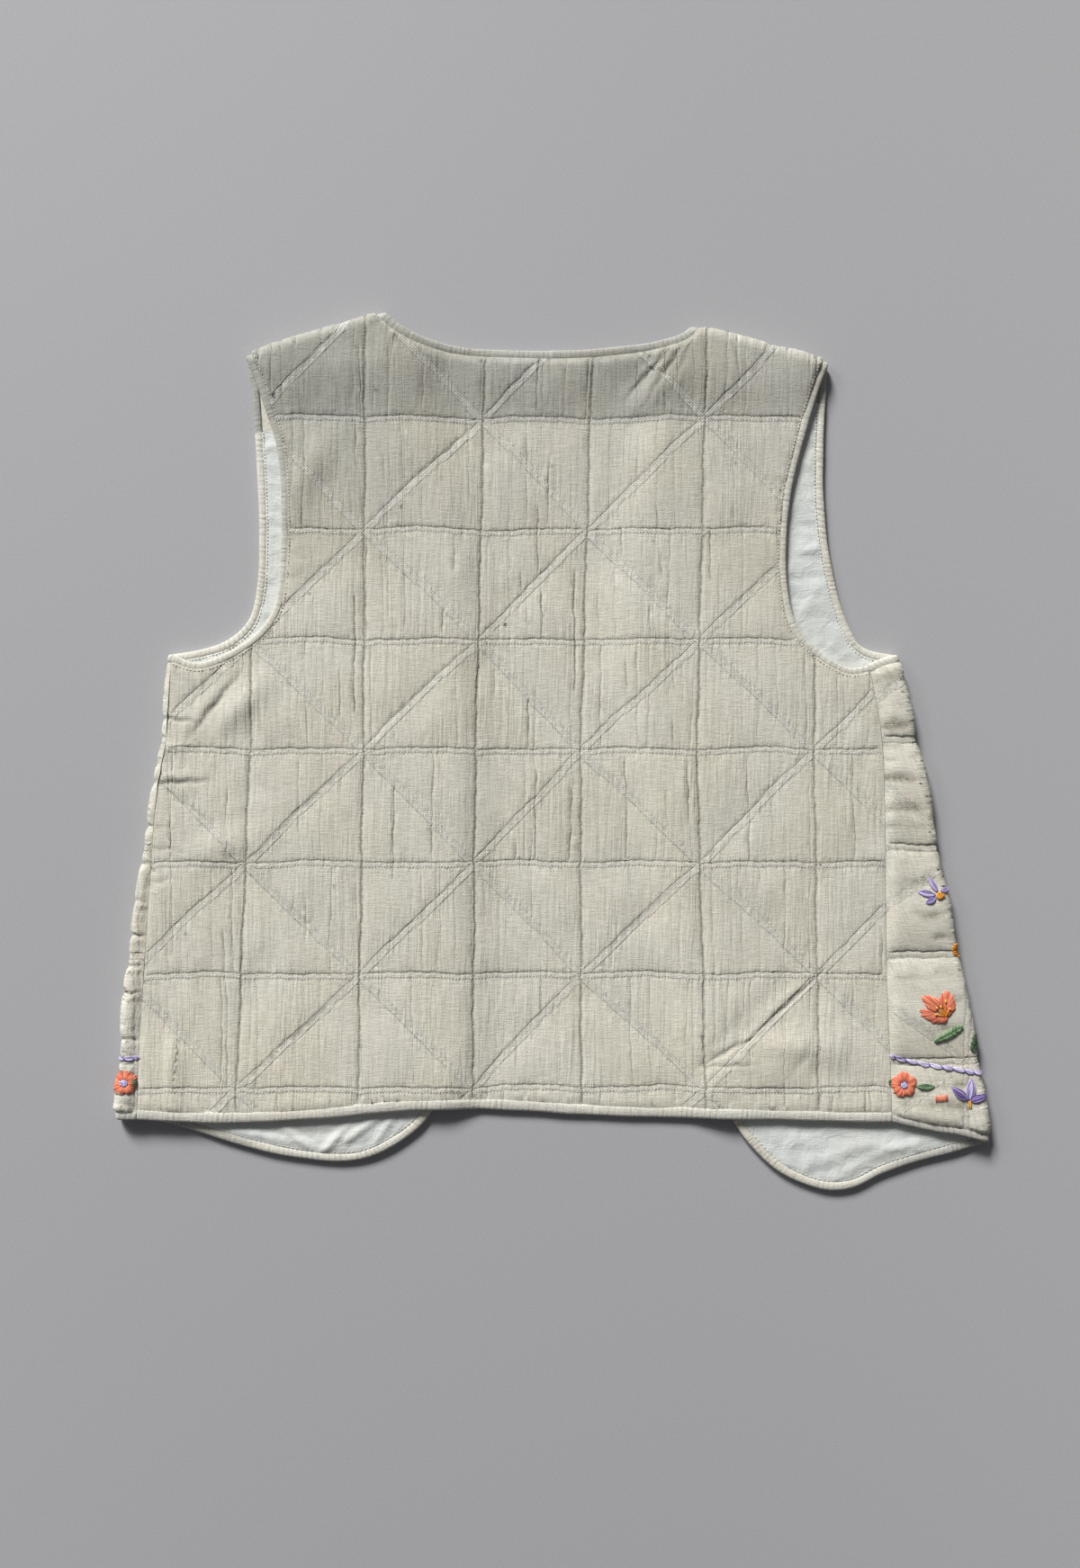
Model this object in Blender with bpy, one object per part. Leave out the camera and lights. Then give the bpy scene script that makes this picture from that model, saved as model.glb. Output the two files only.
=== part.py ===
"""Embroidered waistcoat of quilted cotton, sleeveless and open in front, laid face down on a flat surface.

The back lies on top with its outer face up. At each side the front wraps round the fold and comes up to the
side seam. At each shoulder the back wraps over the fold and goes down under it to the shoulder seam. The
fronts lie underneath with their lining up, and their rounded hems reach out below the back's hem.

Every cloth piece is a wall. It is cut out flat, as a pattern, and a function lays each point of the pattern
where the garment has it, so that the quilting runs on round the folds. Sizes are in millimetres, X to the
right, Y towards the neck and Z up. A half of the garment measures `out` from the middle line to its side.
"""

import math
from collections import namedtuple

import bmesh
import bpy
from mathutils import Vector
from mathutils.geometry import delaunay_2d_cdt, intersect_line_line_2d

MM = 0.001

# The cloth and how it lies.
WALL = 2.4  # quilted cloth at its stitched lines
PUFF = 2.0  # how far a quilted patch stands out between them
LINING = 1.0
GAP = 0.3  # between pieces
FOLD_RADIUS = 3.1  # of the wall's middle, round a side or a shoulder
BINDING_WIDTH = 6.7
BINDING_THICKNESS = 4.2
BINDING_INSET = BINDING_WIDTH + GAP  # a bound piece stops this far inside its finished edge
LYING = 5.5  # the back's inner face above the surface, where it lies on a front
LYING_LEAST = 4.7  # and in its deepest trough there
SAG = 4.8  # how much lower it lies between the fronts
SAG_RAMP = 34.0
TROUGH_EASE = 0.3  # rounds a trough off where it meets LYING_LEAST
FOLD_REACH = 46.0  # how far in from a fold the cloth comes down to LYING
FOLD_EDGE = WALL / 2 + FOLD_RADIUS  # from a fold's edge in to where its curl starts
CURL = math.pi * FOLD_RADIUS
FOLD_STEPS = 6

# Mesh spacing.
SHOULDER_LENGTH = 92.0
SEAM_RUN_ON = 40.0  # how far past its ends a seam's line is drawn, to be cut off where it meets an edge
EDGE_STEP = 10.0
EDGE_CLEAR = 4.5  # from an edge in to the first lattice point
EDGE_TURN = math.radians(16)
CURL_STEP = CURL / FOLD_STEPS
PATCH_SHARES = (0.0, 0.09, 0.3, 0.5, 0.7, 0.91)  # where a lattice point lies across a quilted square
PATCH_STEPS = len(PATCH_SHARES)
PLAIN_STEP = 34.0
BINDING_STEP = 12.5
BINDING_SIDES = 8

Point = namedtuple("Point", "x y")
Half = namedtuple("Half", "name sign")
Side = namedtuple("Side", "y seam fold")
Shoulder = namedtuple("Shoulder", "neck tip wrap")
Crossing = namedtuple("Crossing", "hem chest shoulder")
Crease = namedtuple("Crease", "x y angle length width height")

LEFT = Half("left", -1)
RIGHT = Half("right", 1)

# Where the side seam and the side fold lie, from the hem up to the underarm: y, seam, fold.
SIDES = {
    "left": [
        Side(-248, 276.5, 291.5),
        Side(-206, 275.5, 288.5),
        Side(-158, 272.4, 284.5),
        Side(-98, 268.5, 277.5),
        Side(-38, 264.0, 268.5),
        Side(10, 256.5, 260.5),
        Side(69, 252.2, 255.35),
    ],
    "right": [
        Side(-248, 227.0, 290.5),
        Side(-206, 225.6, 285.0),
        Side(-158, 223.5, 276.0),
        Side(-98, 222.6, 263.5),
        Side(-38, 222.0, 253.0),
        Side(10, 220.0, 243.0),
        Side(66, 210.0, 230.6),
    ],
}

# Each shoulder's fold runs from the neck to the tip, and the shoulder seam lies `wrap` below it, underneath.
SHOULDERS = {
    "left": Shoulder(Point(115.8, 292.8), Point(204.0, 265.2), 50.0),
    "right": Shoulder(Point(97.2, 283.8), Point(184.2, 261.0), 26.0),
}

# Finished edges, as points (out, y) that a smooth curve goes through.
BACK_ARMHOLE = {
    "left": [
        Point(251.2, 65.0),
        Point(234.2, 60.6),
        Point(209.0, 71.5),
        Point(190.5, 88.0),
        Point(182.5, 112.0),
        Point(180.5, 165.0),
        Point(183.6, 203.4),
        Point(191.5, 230.0),
        Point(199.5, 253.5),
    ],
    "right": [
        Point(211.0, 58.8),
        Point(197.4, 57.4),
        Point(178.0, 69.0),
        Point(162.0, 89.0),
        Point(156.6, 126.6),
        Point(159.6, 171.0),
        Point(167.5, 206.0),
        Point(175.0, 231.5),
        Point(181.0, 250.0),
    ],
}
TAB_ARMHOLE = {
    "left": [Point(203.0, 254.0), Point(200.6, 236.0), Point(199.3, 214.0)],
    "right": [Point(184.6, 250.0), Point(184.2, 240.0), Point(183.6, 234.0)],
}
FRONT_ARMHOLE = {
    "left": [
        Point(199.3, 216.0),
        Point(197.0, 178.0),
        Point(196.2, 145.0),
        Point(197.6, 112.0),
        Point(203.0, 90.0),
        Point(217.0, 76.0),
        Point(236.0, 69.4),
    ],
    "right": [
        Point(184.0, 236.0),
        Point(182.6, 205.0),
        Point(182.6, 171.0),
        Point(186.0, 136.0),
        Point(192.8, 104.4),
        Point(200.8, 82.0),
        Point(211.6, 69.6),
    ],
}
UNDERARM = {
    "left": [Point(252.2, 65.5)],
    "right": [Point(222.0, 63.8), Point(210.0, 58.8)],
}
BACK_NECK = [
    Point(88.0, 280.8),
    Point(73.2, 275.9),
    Point(56.0, 273.2),
    Point(22.2, 270.4),
    Point(-7.8, 270.1),
    Point(-46.8, 271.3),
    Point(-67.8, 273.6),
    Point(-84.6, 278.0),
    Point(-97.2, 283.8),
    Point(-106.5, 290.2),
]
TAB_NECK = {
    "left": [Point(112.5, 284.0), Point(108.0, 268.0), Point(102.0, 245.0)],
    "right": [Point(95.0, 276.0), Point(92.5, 267.0), Point(90.0, 258.0)],
}
BACK_HEM = [
    Point(-276.5, -244.8),
    Point(-217.8, -247.4),
    Point(-160.0, -244.8),
    Point(-101.4, -239.5),
    Point(-60.0, -239.0),
    Point(-20.0, -240.2),
    Point(16.0, -242.6),
    Point(64.2, -244.6),
    Point(140.0, -245.0),
    Point(190.0, -246.4),
    Point(227.0, -246.6),
]
STRIP_HEM = {
    "left": [Point(276.5, -244.8)],
    "right": [Point(227.0, -246.6), Point(256.0, -253.0), Point(276.0, -256.0)],
}
FRONT_EDGE = {
    "left": [
        Point(270.0, -246.0),
        Point(238.0, -254.0),
        Point(205.0, -264.2),
        Point(168.0, -272.0),
        Point(132.0, -273.6),
        Point(104.8, -263.0),
        Point(82.0, -243.0),
        Point(70.0, -208.0),
        Point(67.0, -150.0),
        Point(66.0, 40.0),
        Point(68.0, 110.0),
        Point(79.0, 170.0),
        Point(100.5, 240.0),
    ],
    "right": [
        Point(272.0, -267.2),
        Point(245.0, -274.5),
        Point(222.0, -282.3),
        Point(201.0, -292.0),
        Point(178.0, -292.0),
        Point(149.6, -279.0),
        Point(126.0, -254.0),
        Point(113.0, -222.0),
        Point(103.0, -165.0),
        Point(68.0, 30.0),
        Point(60.0, 90.0),
        Point(68.0, 160.0),
        Point(88.0, 252.0),
    ],
}

# Quilting: squares with a diagonal through each. A row's y holds all along it, and a column leans a little.
BACK_ROWS = [-301.0, -225.6, -149.4, -75.0, 0.6, 73.8, 147.6, 222.6, 297.6, 372.6]
BACK_COLUMNS = [
    Crossing(-287.0, -276.0, -272.0),
    Crossing(-210.0, -201.0, -197.0),
    Crossing(-129.0, -125.5, -124.5),
    Crossing(-53.0, -51.0, -45.5),
    Crossing(20.0, 19.5, 26.0),
    Crossing(103.0, 97.0, 102.0),
    Crossing(178.0, 175.0, 176.0),
    Crossing(254.0, 250.0, 250.0),
]
STRIP_ROWS = [-277.0, -206.0, -135.0, -64.0, 5.4, 76.0]
STRIP_COLUMNS = [Crossing(x, x, x) for x in (130.0, 205.0, 280.0, 355.0, 430.0)]
HEM_Y = -225.0
CHEST_Y = 0.0
SHOULDER_Y = 222.0
STITCH_REACH = 4.8  # how far from a stitched line a patch takes to rise

# The largest folds in the back as it lies: soft ridges, or troughs where the height is below zero.
CREASES = [
    Crease(-212, 26, 48, 62, 9, 2.6),
    Crease(-231, 8, 30, 70, 10, -1.5),
    Crease(-222, -62, 18, 60, 12, 2.0),
    Crease(-160, 190, 62, 60, 10, 1.9),
    Crease(-172, 250, 80, 34, 6, 1.6),
    Crease(70, 242, 38, 50, 8, 1.8),
    Crease(158, -200, 8, 74, 13, 2.6),
    Crease(122, -188, 48, 70, 7, -1.8),
    Crease(-252, -214, 88, 44, 6, 2.0),
    Crease(-196, -150, 66, 54, 8, -1.5),
    Crease(236, -66, 4, 44, 8, 1.8),
    Crease(250, -178, -22, 48, 8, 1.9),
]


def smoothstep(share):
    share = min(1.0, max(0.0, share))
    return share * share * (3 - 2 * share)


def along(rows, value, column):
    """A column of a table at a value of its first column, read from a smooth curve through the rows."""
    places = [row[0] for row in rows]
    heights = [getattr(row, column) for row in rows]
    last = len(rows) - 1
    i = min(max(sum(value > place for place in places) - 1, 0), last - 1)
    slopes = []
    for k in (i, i + 1):
        before, after = max(k - 1, 0), min(k + 1, last)
        slopes.append((heights[after] - heights[before]) / (places[after] - places[before]))
    span = places[i + 1] - places[i]
    t = (value - places[i]) / span
    if not 0 <= t <= 1:
        end = round(min(max(t, 0), 1))
        return heights[i + end] + slopes[end] * (value - places[i + end])
    rise = heights[i] * (1 + 2 * t) * (1 - t) ** 2 + heights[i + 1] * t * t * (3 - 2 * t)
    return rise + span * (slopes[0] * t * (1 - t) ** 2 - slopes[1] * t * t * (1 - t))


def fold_at(half, y):
    return along(SIDES[half.name], y, "fold")


def seam_at(half, y):
    return along(SIDES[half.name], y, "seam")


def curve(points, step=2.0):
    """A smooth line through the points, as a Catmull-Rom curve."""
    line = []
    padded = [points[0], *points, points[-1]]
    for p0, p1, p2, p3 in zip(padded, padded[1:], padded[2:], padded[3:]):
        count = max(1, math.ceil((Vector(p2) - Vector(p1)).length / step))
        for k in range(count):
            t = k / count
            line.append(
                0.5
                * (
                    2 * Vector(p1)
                    + t * (Vector(p2) - Vector(p0))
                    + t**2 * (2 * Vector(p0) - 5 * Vector(p1) + 4 * Vector(p2) - Vector(p3))
                    + t**3 * (3 * Vector(p1) - Vector(p0) - 3 * Vector(p2) + Vector(p3))
                )
            )
    return [*line, Vector(points[-1])]


# Laying the pattern out in space.


def shoulder_frame(half):
    """(a point where the shoulder's curl starts, the direction out over the fold), seen from above."""
    shoulder = SHOULDERS[half.name]
    neck = Vector((half.sign * shoulder.neck.x, shoulder.neck.y))
    tip = Vector((half.sign * shoulder.tip.x, shoulder.tip.y))
    run = (tip - neck).normalized()
    out = Vector((-run.y, run.x)) * half.sign
    return neck - out * FOLD_EDGE, out


SHOULDER_FRAMES = {half: shoulder_frame(half) for half in (LEFT, RIGHT)}


def upright_edge(half):
    """A front's edge from the low point of its rounded corner up to the shoulder."""
    line = curve([Vector(p) for p in FRONT_EDGE[half.name]])
    low = min(range(len(line)), key=lambda k: line[k].y)
    return line[low:]


UPRIGHT_EDGES = {half: upright_edge(half) for half in (LEFT, RIGHT)}


def half_of(x):
    return LEFT if x < 0 else RIGHT


def over_shoulder(x, y):
    """How far a point of the back's pattern is past the start of the shoulder's curl."""
    start, out = SHOULDER_FRAMES[half_of(x)]
    return (Vector((x, y)) - start).dot(out)


def unfold_shoulder(half, point):
    """The place in the back's pattern of a point (out, y) that lies under the shoulder's fold."""
    start, out = SHOULDER_FRAMES[half]
    place = Vector((half.sign * point.x, point.y))
    depth = (start - place).dot(out)
    return place + out * (2 * depth + CURL)


def unfold_side(half, point):
    """The place in a front's pattern of a point (out, y) that lies on top, past the side fold."""
    fold = fold_at(half, point.y)
    inside = fold - point.x
    if inside < FOLD_EDGE:
        turn = math.acos(max(-1.0, (FOLD_EDGE - inside) / FOLD_RADIUS))
        past = FOLD_RADIUS * (math.pi / 2 + turn)
    else:
        past = CURL + inside - FOLD_EDGE
    return Vector((half.sign * (fold - FOLD_EDGE + past), point.y))


def front_edge_at(half, y):
    """How far out the upright edge of a front lies, at a height above the low point of its rounded corner."""
    line = UPRIGHT_EDGES[half]
    for first, second in zip(line, line[1:]):
        if y < second.y:
            share = max(0.0, (y - first.y) / (second.y - first.y))
            return first.x + (second.x - first.x) * share
    return line[-1].x


def crease_height(x, y):
    height = 0.0
    for crease in CREASES:
        angle = math.radians(crease.angle)
        dx, dy = x - crease.x, y - crease.y
        run = (dx * math.cos(angle) + dy * math.sin(angle)) / crease.length
        across = (dy * math.cos(angle) - dx * math.sin(angle)) / crease.width
        height += crease.height * math.exp(-4 * run * run - across * across)
    return height


def lying_height(x, y):
    """How high the inner face of the upper layer lies above the surface."""
    half = half_of(x)
    from_side = fold_at(half, min(y, SIDES[half.name][-1].y)) - abs(x) - FOLD_EDGE
    raised = max(1 - smoothstep(from_side / FOLD_REACH), 1 - smoothstep(-over_shoulder(x, y) / FOLD_REACH))
    inside = min(x + front_edge_at(LEFT, y), front_edge_at(RIGHT, y) - x)
    spare = LYING - LYING_LEAST
    change = crease_height(x, y) + spare
    height = LYING_LEAST + (change + math.hypot(change, TROUGH_EASE)) / 2
    height = max(GAP, height - SAG * smoothstep(inside / SAG_RAMP))
    return height + (2 * FOLD_RADIUS - height) * raised


def lay_back(x, y):
    """Where the middle of the back's wall lies, for a point of its pattern."""
    past = over_shoulder(x, y)
    if past > 0:
        out = SHOULDER_FRAMES[half_of(x)][1]
        turn = min(past, CURL) / FOLD_RADIUS
        place = Vector((x, y)) - out * past
        place += out * (FOLD_RADIUS * math.sin(turn) - max(0.0, past - CURL))
        return Vector((place.x, place.y, FOLD_EDGE + FOLD_RADIUS * math.cos(turn)))
    height = lying_height(x, y) + WALL / 2
    from_side = fold_at(half_of(x), y) - abs(x)
    if from_side < FOLD_EDGE:
        across = min(FOLD_RADIUS, FOLD_EDGE - from_side)
        height = FOLD_EDGE + math.sqrt(FOLD_RADIUS**2 - across**2)
    return Vector((x, y, height))


def past_fold(x, y):
    """How far a point of a front's pattern is past the start of the side fold's curl."""
    return abs(x) - fold_at(half_of(x), y) + FOLD_EDGE


def lay_front(x, y):
    """Where the middle of a front's wall lies, for a point of its pattern."""
    past = past_fold(x, y)
    if past <= 0 or y > SIDES[half_of(x).name][-1].y + EDGE_STEP:
        return Vector((x, y, WALL / 2))
    half = half_of(x)
    turn = min(past, CURL) / FOLD_RADIUS
    place = fold_at(half, y) - FOLD_EDGE + FOLD_RADIUS * math.sin(turn) - max(0.0, past - CURL)
    height = FOLD_EDGE - FOLD_RADIUS * math.cos(turn)
    if past > CURL:
        height += lying_height(half.sign * place, y) - 2 * FOLD_RADIUS
    return Vector((half.sign * place, y, height))


def normal_of(lay, x, y, reach=0.05):
    """The wall's direction at a point of the pattern: up, where the pattern lies flat."""
    across = lay(x + reach, y) - lay(x - reach, y)
    up = lay(x, y + reach) - lay(x, y - reach)
    return across.cross(up).normalized()


# Outlines of the pattern pieces, counterclockwise seen from above.


def moved_in(line, inset):
    """The line moved to its left by inset, and run on a little at both ends."""
    moved = []
    for i, point in enumerate(line):
        run = (line[min(i + 1, len(line) - 1)] - line[max(i - 1, 0)]).normalized()
        moved.append(point + Vector((-run.y, run.x)) * inset)
    run_on = BINDING_INSET * 1.5
    first = (moved[0] - moved[1]).normalized() * run_on
    last = (moved[-1] - moved[-2]).normalized() * run_on
    return [moved[0] + first, *moved, moved[-1] + last]


def crossing_of(line, other):
    """(index in line, index in other, point) where the end of one line crosses the start of the other."""
    for i in range(len(line) - 2, -1, -1):
        for j in range(len(other) - 1):
            point = intersect_line_line_2d(line[i], line[i + 1], other[j], other[j + 1])
            if point:
                return i, j, point
    raise ValueError("two edges of a pattern piece don't meet")


def inset_edges(edges):
    """edges: (line, inset) all round a piece. The same lines moved in, and cut off where they meet."""
    moved = [moved_in(line, inset) for line, inset in edges]
    count = len(moved)
    meets = [crossing_of(moved[k], moved[(k + 1) % count]) for k in range(count)]
    cut = []
    for k, line in enumerate(moved):
        _, start, first = meets[k - 1]
        stop, _, last = meets[k]
        cut.append([first, *line[start + 1 : stop + 1], last])
    return cut


def spaced(line, step, past_at):
    """Points along a line: a step apart, or closer where it turns or runs round a fold. Both ends are kept.
    past_at tells how far a point is past the start of its fold's curl."""
    points = [line[0]]
    walked = turned = 0.0
    last_past = min(max(past_at(*line[0]), 0.0), CURL)
    for before, point, after in zip(line, line[1:], line[2:]):
        walked += (point - before).length
        turned += (point - before).angle(after - point)
        past = min(max(past_at(*point), 0.0), CURL)
        full = max(walked / step, turned / EDGE_TURN, abs(past - last_past) / CURL_STEP)
        if full >= 1 and walked > 1.2:
            points.append(point)
            walked = turned = 0.0
            last_past = past
    walked += (line[-1] - line[-2]).length
    if walked < 1.5 and len(points) > 1:
        points.pop()
    points.append(line[-1])
    return points


def finer(line, step=0.7):
    """The same line with points no further apart than step."""
    points = []
    for first, second in zip(line, line[1:]):
        count = max(1, math.ceil((second - first).length / step))
        points += [first.lerp(second, k / count) for k in range(count)]
    return [*points, line[-1]]


def outline_of(cut, past_at):
    outline = []
    for line in cut:
        outline += spaced(finer(line), EDGE_STEP, past_at)[:-1]
    return outline


def mirrored(half, points):
    return [Vector((half.sign * p.x, p.y)) for p in points]


def seam_line(half, start_y, stop_y):
    ys = [start_y + (stop_y - start_y) * k / 30 for k in range(31)]
    return [Vector((half.sign * seam_at(half, y), y)) for y in ys]


def back_edges():
    """The back's edges, each as a line in its pattern."""
    edges = {"hem": curve([Vector(p) for p in BACK_HEM])}
    for half in (RIGHT, LEFT):
        tab = [unfold_shoulder(half, p) for p in TAB_ARMHOLE[half.name]]
        edges["armhole_" + half.name] = curve([*mirrored(half, BACK_ARMHOLE[half.name]), *tab])
        start, out = SHOULDER_FRAMES[half]
        reach = SHOULDERS[half.name].wrap - FOLD_EDGE + CURL
        run = Vector((out.y, -out.x)) * half.sign
        seam = [start + out * reach + run * far for far in (SEAM_RUN_ON + SHOULDER_LENGTH, -SEAM_RUN_ON)]
        edges["shoulder_" + half.name] = seam
        edges["side_" + half.name] = seam_line(half, BACK_HEM[0].y, BACK_ARMHOLE[half.name][0].y)
    neck = [unfold_shoulder(RIGHT, p) for p in reversed(TAB_NECK["right"])]
    neck += [Vector(p) for p in BACK_NECK]
    neck += [unfold_shoulder(LEFT, p) for p in TAB_NECK["left"]]
    edges["neck"] = curve(neck)
    return edges


def back_outline(edges, inset):
    """The back's edges moved in: inset where they are bound, half a gap at the seams."""
    order = [
        (edges["hem"], inset),
        (edges["side_right"], GAP / 2),
        (edges["armhole_right"], inset),
        (edges["shoulder_right"], GAP / 2),
        (edges["neck"], inset),
        (edges["shoulder_left"][::-1], GAP / 2),
        (edges["armhole_left"][::-1], inset),
        (edges["side_left"][::-1], GAP / 2),
    ]
    names = ["hem", "side_right", "armhole_right", "shoulder_right"]
    names += ["neck", "shoulder_left", "armhole_left", "side_left"]
    return dict(zip(names, inset_edges(order)))


def front_edges(half):
    """A front's edges, each as a line in its pattern, from the side seam's hem round by the front edge."""
    strip = [unfold_side(half, p) for p in STRIP_HEM[half.name]]
    hem = curve([*strip, *mirrored(half, FRONT_EDGE[half.name])])
    start, out = SHOULDER_FRAMES[half]
    depth = SHOULDERS[half.name].wrap - FOLD_EDGE
    run = Vector((out.y, -out.x)) * half.sign
    shoulder = [start - out * depth + run * far for far in (-SEAM_RUN_ON, SEAM_RUN_ON + SHOULDER_LENGTH)]
    arm = curve(
        [*mirrored(half, FRONT_ARMHOLE[half.name]), *(unfold_side(half, p) for p in UNDERARM[half.name])]
    )
    top, bottom = UNDERARM[half.name][-1].y, STRIP_HEM[half.name][0].y
    ys = [top + (bottom - top) * k / 60 for k in range(61)]
    side = [unfold_side(half, Point(seam_at(half, y), y)) for y in ys]
    return {"edge": hem, "shoulder": shoulder, "armhole": arm, "side": side}


def front_outline(half, edges, inset):
    names = ["edge", "shoulder", "armhole", "side"]
    lines = [edges[name] for name in names]
    if half is RIGHT:
        names = names[::-1]
        lines = [line[::-1] for line in lines[::-1]]
    insets = [inset if name in ("edge", "armhole") else GAP / 2 for name in names]
    return dict(zip(names, inset_edges(list(zip(lines, insets)))))


def lining_outline(half, edges):
    """The lining covers the front's inner face inside its binding, as far as the side fold."""
    top, bottom = SIDES[half.name][-1].y + SEAM_RUN_ON, SIDES[half.name][0].y - SEAM_RUN_ON
    ys = [top + (bottom - top) * k / 60 for k in range(61)]
    side = [Vector((half.sign * (fold_at(half, y) - FOLD_EDGE - 2), y)) for y in ys]
    names = ["edge", "shoulder", "armhole", "side"]
    lines = [edges["edge"], edges["shoulder"], edges["armhole"], side]
    insets = [BINDING_INSET + GAP, 1.0, BINDING_INSET + GAP, 0.0]
    if half is RIGHT:
        lines = [line[::-1] for line in lines[::-1]]
        insets = insets[::-1]
        names = names[::-1]
    return dict(zip(names, inset_edges(list(zip(lines, insets)))))


# Quilting.


def column_at(crossing, y):
    """How far along a quilting column is at a height."""
    if y < CHEST_Y:
        share = (y - HEM_Y) / (CHEST_Y - HEM_Y)
        return crossing.hem + (crossing.chest - crossing.hem) * share
    share = (y - CHEST_Y) / (SHOULDER_Y - CHEST_Y)
    return crossing.chest + (crossing.shoulder - crossing.chest) * share


def lattice_point(rows, columns, i, j):
    """The pattern point at lattice place i, j, which counts PATCH_STEPS to a quilted square."""
    row, up = divmod(j, PATCH_STEPS)
    column, across = divmod(i, PATCH_STEPS)
    up, across = PATCH_SHARES[up], PATCH_SHARES[across]
    y = rows[row] + (rows[row + 1] - rows[row]) * up if up else rows[row]
    x = column_at(columns[column], y)
    if across:
        x += (column_at(columns[column + 1], y) - x) * across
    return Vector((x, y))


def is_stitched(a, b):
    """Whether the lattice edge from a to b, both (i, j), lies on a row, a column or a diagonal."""
    (ai, aj), (bi, bj) = a, b
    if ai == bi:
        return ai % PATCH_STEPS == 0
    if aj == bj:
        return aj % PATCH_STEPS == 0
    whole = 2 * PATCH_STEPS
    if (bi - ai) * (bj - aj) > 0:
        return (ai - aj) % whole == 0
    return (ai + aj) % whole == 0


def patch_rise(rows, columns, x, y):
    """How far the outer face stands out at a point: nothing at a stitched line, PUFF inside a patch."""
    row = min(max(sum(y > r for r in rows) - 1, 0), len(rows) - 2)
    v = (y - rows[row]) / (rows[row + 1] - rows[row])
    across = [column_at(column, y) for column in columns]
    column = min(max(sum(x > c for c in across) - 1, 0), len(across) - 2)
    u = (x - across[column]) / (across[column + 1] - across[column])
    diagonal = abs(u - v) if (row + column) % 2 == 0 else abs(u + v - 1)
    share = max(0.0, min(abs(u), abs(1 - u), abs(v), abs(1 - v), diagonal / math.sqrt(2)))
    distance = share * (rows[row + 1] - rows[row])
    return PUFF * (1 - math.exp(-((distance / STITCH_REACH) ** 2)))


# Solids.


def is_inside(point, outline):
    inside = False
    for first, second in zip(outline, [*outline[1:], outline[0]]):
        if (first.y > point.y) != (second.y > point.y):
            if point.x < first.x + (second.x - first.x) * (point.y - first.y) / (second.y - first.y):
                inside = not inside
    return inside


def clearance(point, outline):
    """How far a point is from an outline."""
    best = math.inf
    for first, second in zip(outline, [*outline[1:], outline[0]]):
        edge = second - first
        share = min(1.0, max(0.0, (point - first).dot(edge) / edge.length_squared))
        best = min(best, (first + edge * share - point).length)
    return best


def filled(outline, points, creases):
    """Triangles over an outline: (all its points, the outline's first, and the triangles)."""
    count = len(outline)
    everything = [*outline, *points]
    rim = list(zip(outline, [*outline[1:], outline[0]]))
    edges = [
        (a + count, b + count)
        for a, b in creases
        if not any(intersect_line_line_2d(points[a], points[b], first, second) for first, second in rim)
    ]
    made, _, faces, sources, _, _ = delaunay_2d_cdt(everything, edges, [list(range(count))], 1, 1e-7)
    if len(made) != len(everything):
        raise ValueError("an edge of the mesh crosses the outline")
    back = [source[0] for source in sources]
    return everything, [[back[v] for v in face] for face in faces]


def lattice(rows, columns, keep):
    """Lattice points that keep allows, and the stitched edges between neighbours."""
    places, points, creases = {}, [], []
    for j in range((len(rows) - 1) * PATCH_STEPS + 1):
        for i in range((len(columns) - 1) * PATCH_STEPS + 1):
            point = lattice_point(rows, columns, i, j)
            if keep(point):
                places[i, j] = len(points)
                points.append(point)
    for (i, j), index in places.items():
        for other in ((i + 1, j), (i, j + 1), (i + 1, j + 1), (i - 1, j + 1)):
            if other in places and is_stitched((i, j), other):
                creases.append((index, places[other]))
    return points, creases


def plain_points(outline, keep, step=PLAIN_STEP):
    """A sparse lattice inside an outline, for a face with no quilting."""
    low = [min(p[k] for p in outline) for k in (0, 1)]
    high = [max(p[k] for p in outline) for k in (0, 1)]
    points = []
    for j in range(int((high[1] - low[1]) / step) + 1):
        for i in range(int((high[0] - low[0]) / step) + 1):
            point = Vector((low[0] + (i + 0.5 * (j % 2) + 0.5) * step, low[1] + (j + 0.5) * step))
            if keep(point) and is_inside(point, outline) and clearance(point, outline) > EDGE_STEP:
                points.append(point)
    return points


def wall(name, outline, upper, lower, lay, thickness, offset, upper_rise, lower_rise, material):
    """A closed wall. upper and lower are (points, creases) for the face along the wall's direction and the
    other one; offset moves the wall's middle along it, and each rise moves a face's inner points out."""
    vertices, faces = [], []
    for (points, creases), side, rise in ((upper, 1, upper_rise), (lower, -1, lower_rise)):
        everything, triangles = filled(outline, points, creases)
        start = len(vertices)
        for k, point in enumerate(everything):
            out = thickness / 2 + (rise(*point) if rise and k >= len(outline) else 0.0)
            direction = normal_of(lay, *point)
            vertices.append((lay(*point) + direction * (offset + side * out)) * MM)
        for a, b, c in triangles:
            face = (a, b, c) if side > 0 else (c, b, a)
            faces.append([start + v for v in face])
    lower_start = len(vertices) - len(outline) - len(lower[0])
    for k in range(len(outline)):
        nxt = (k + 1) % len(outline)
        faces.append([k, lower_start + k, lower_start + nxt, nxt])
    return add_object(name, vertices, faces, material)


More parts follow.
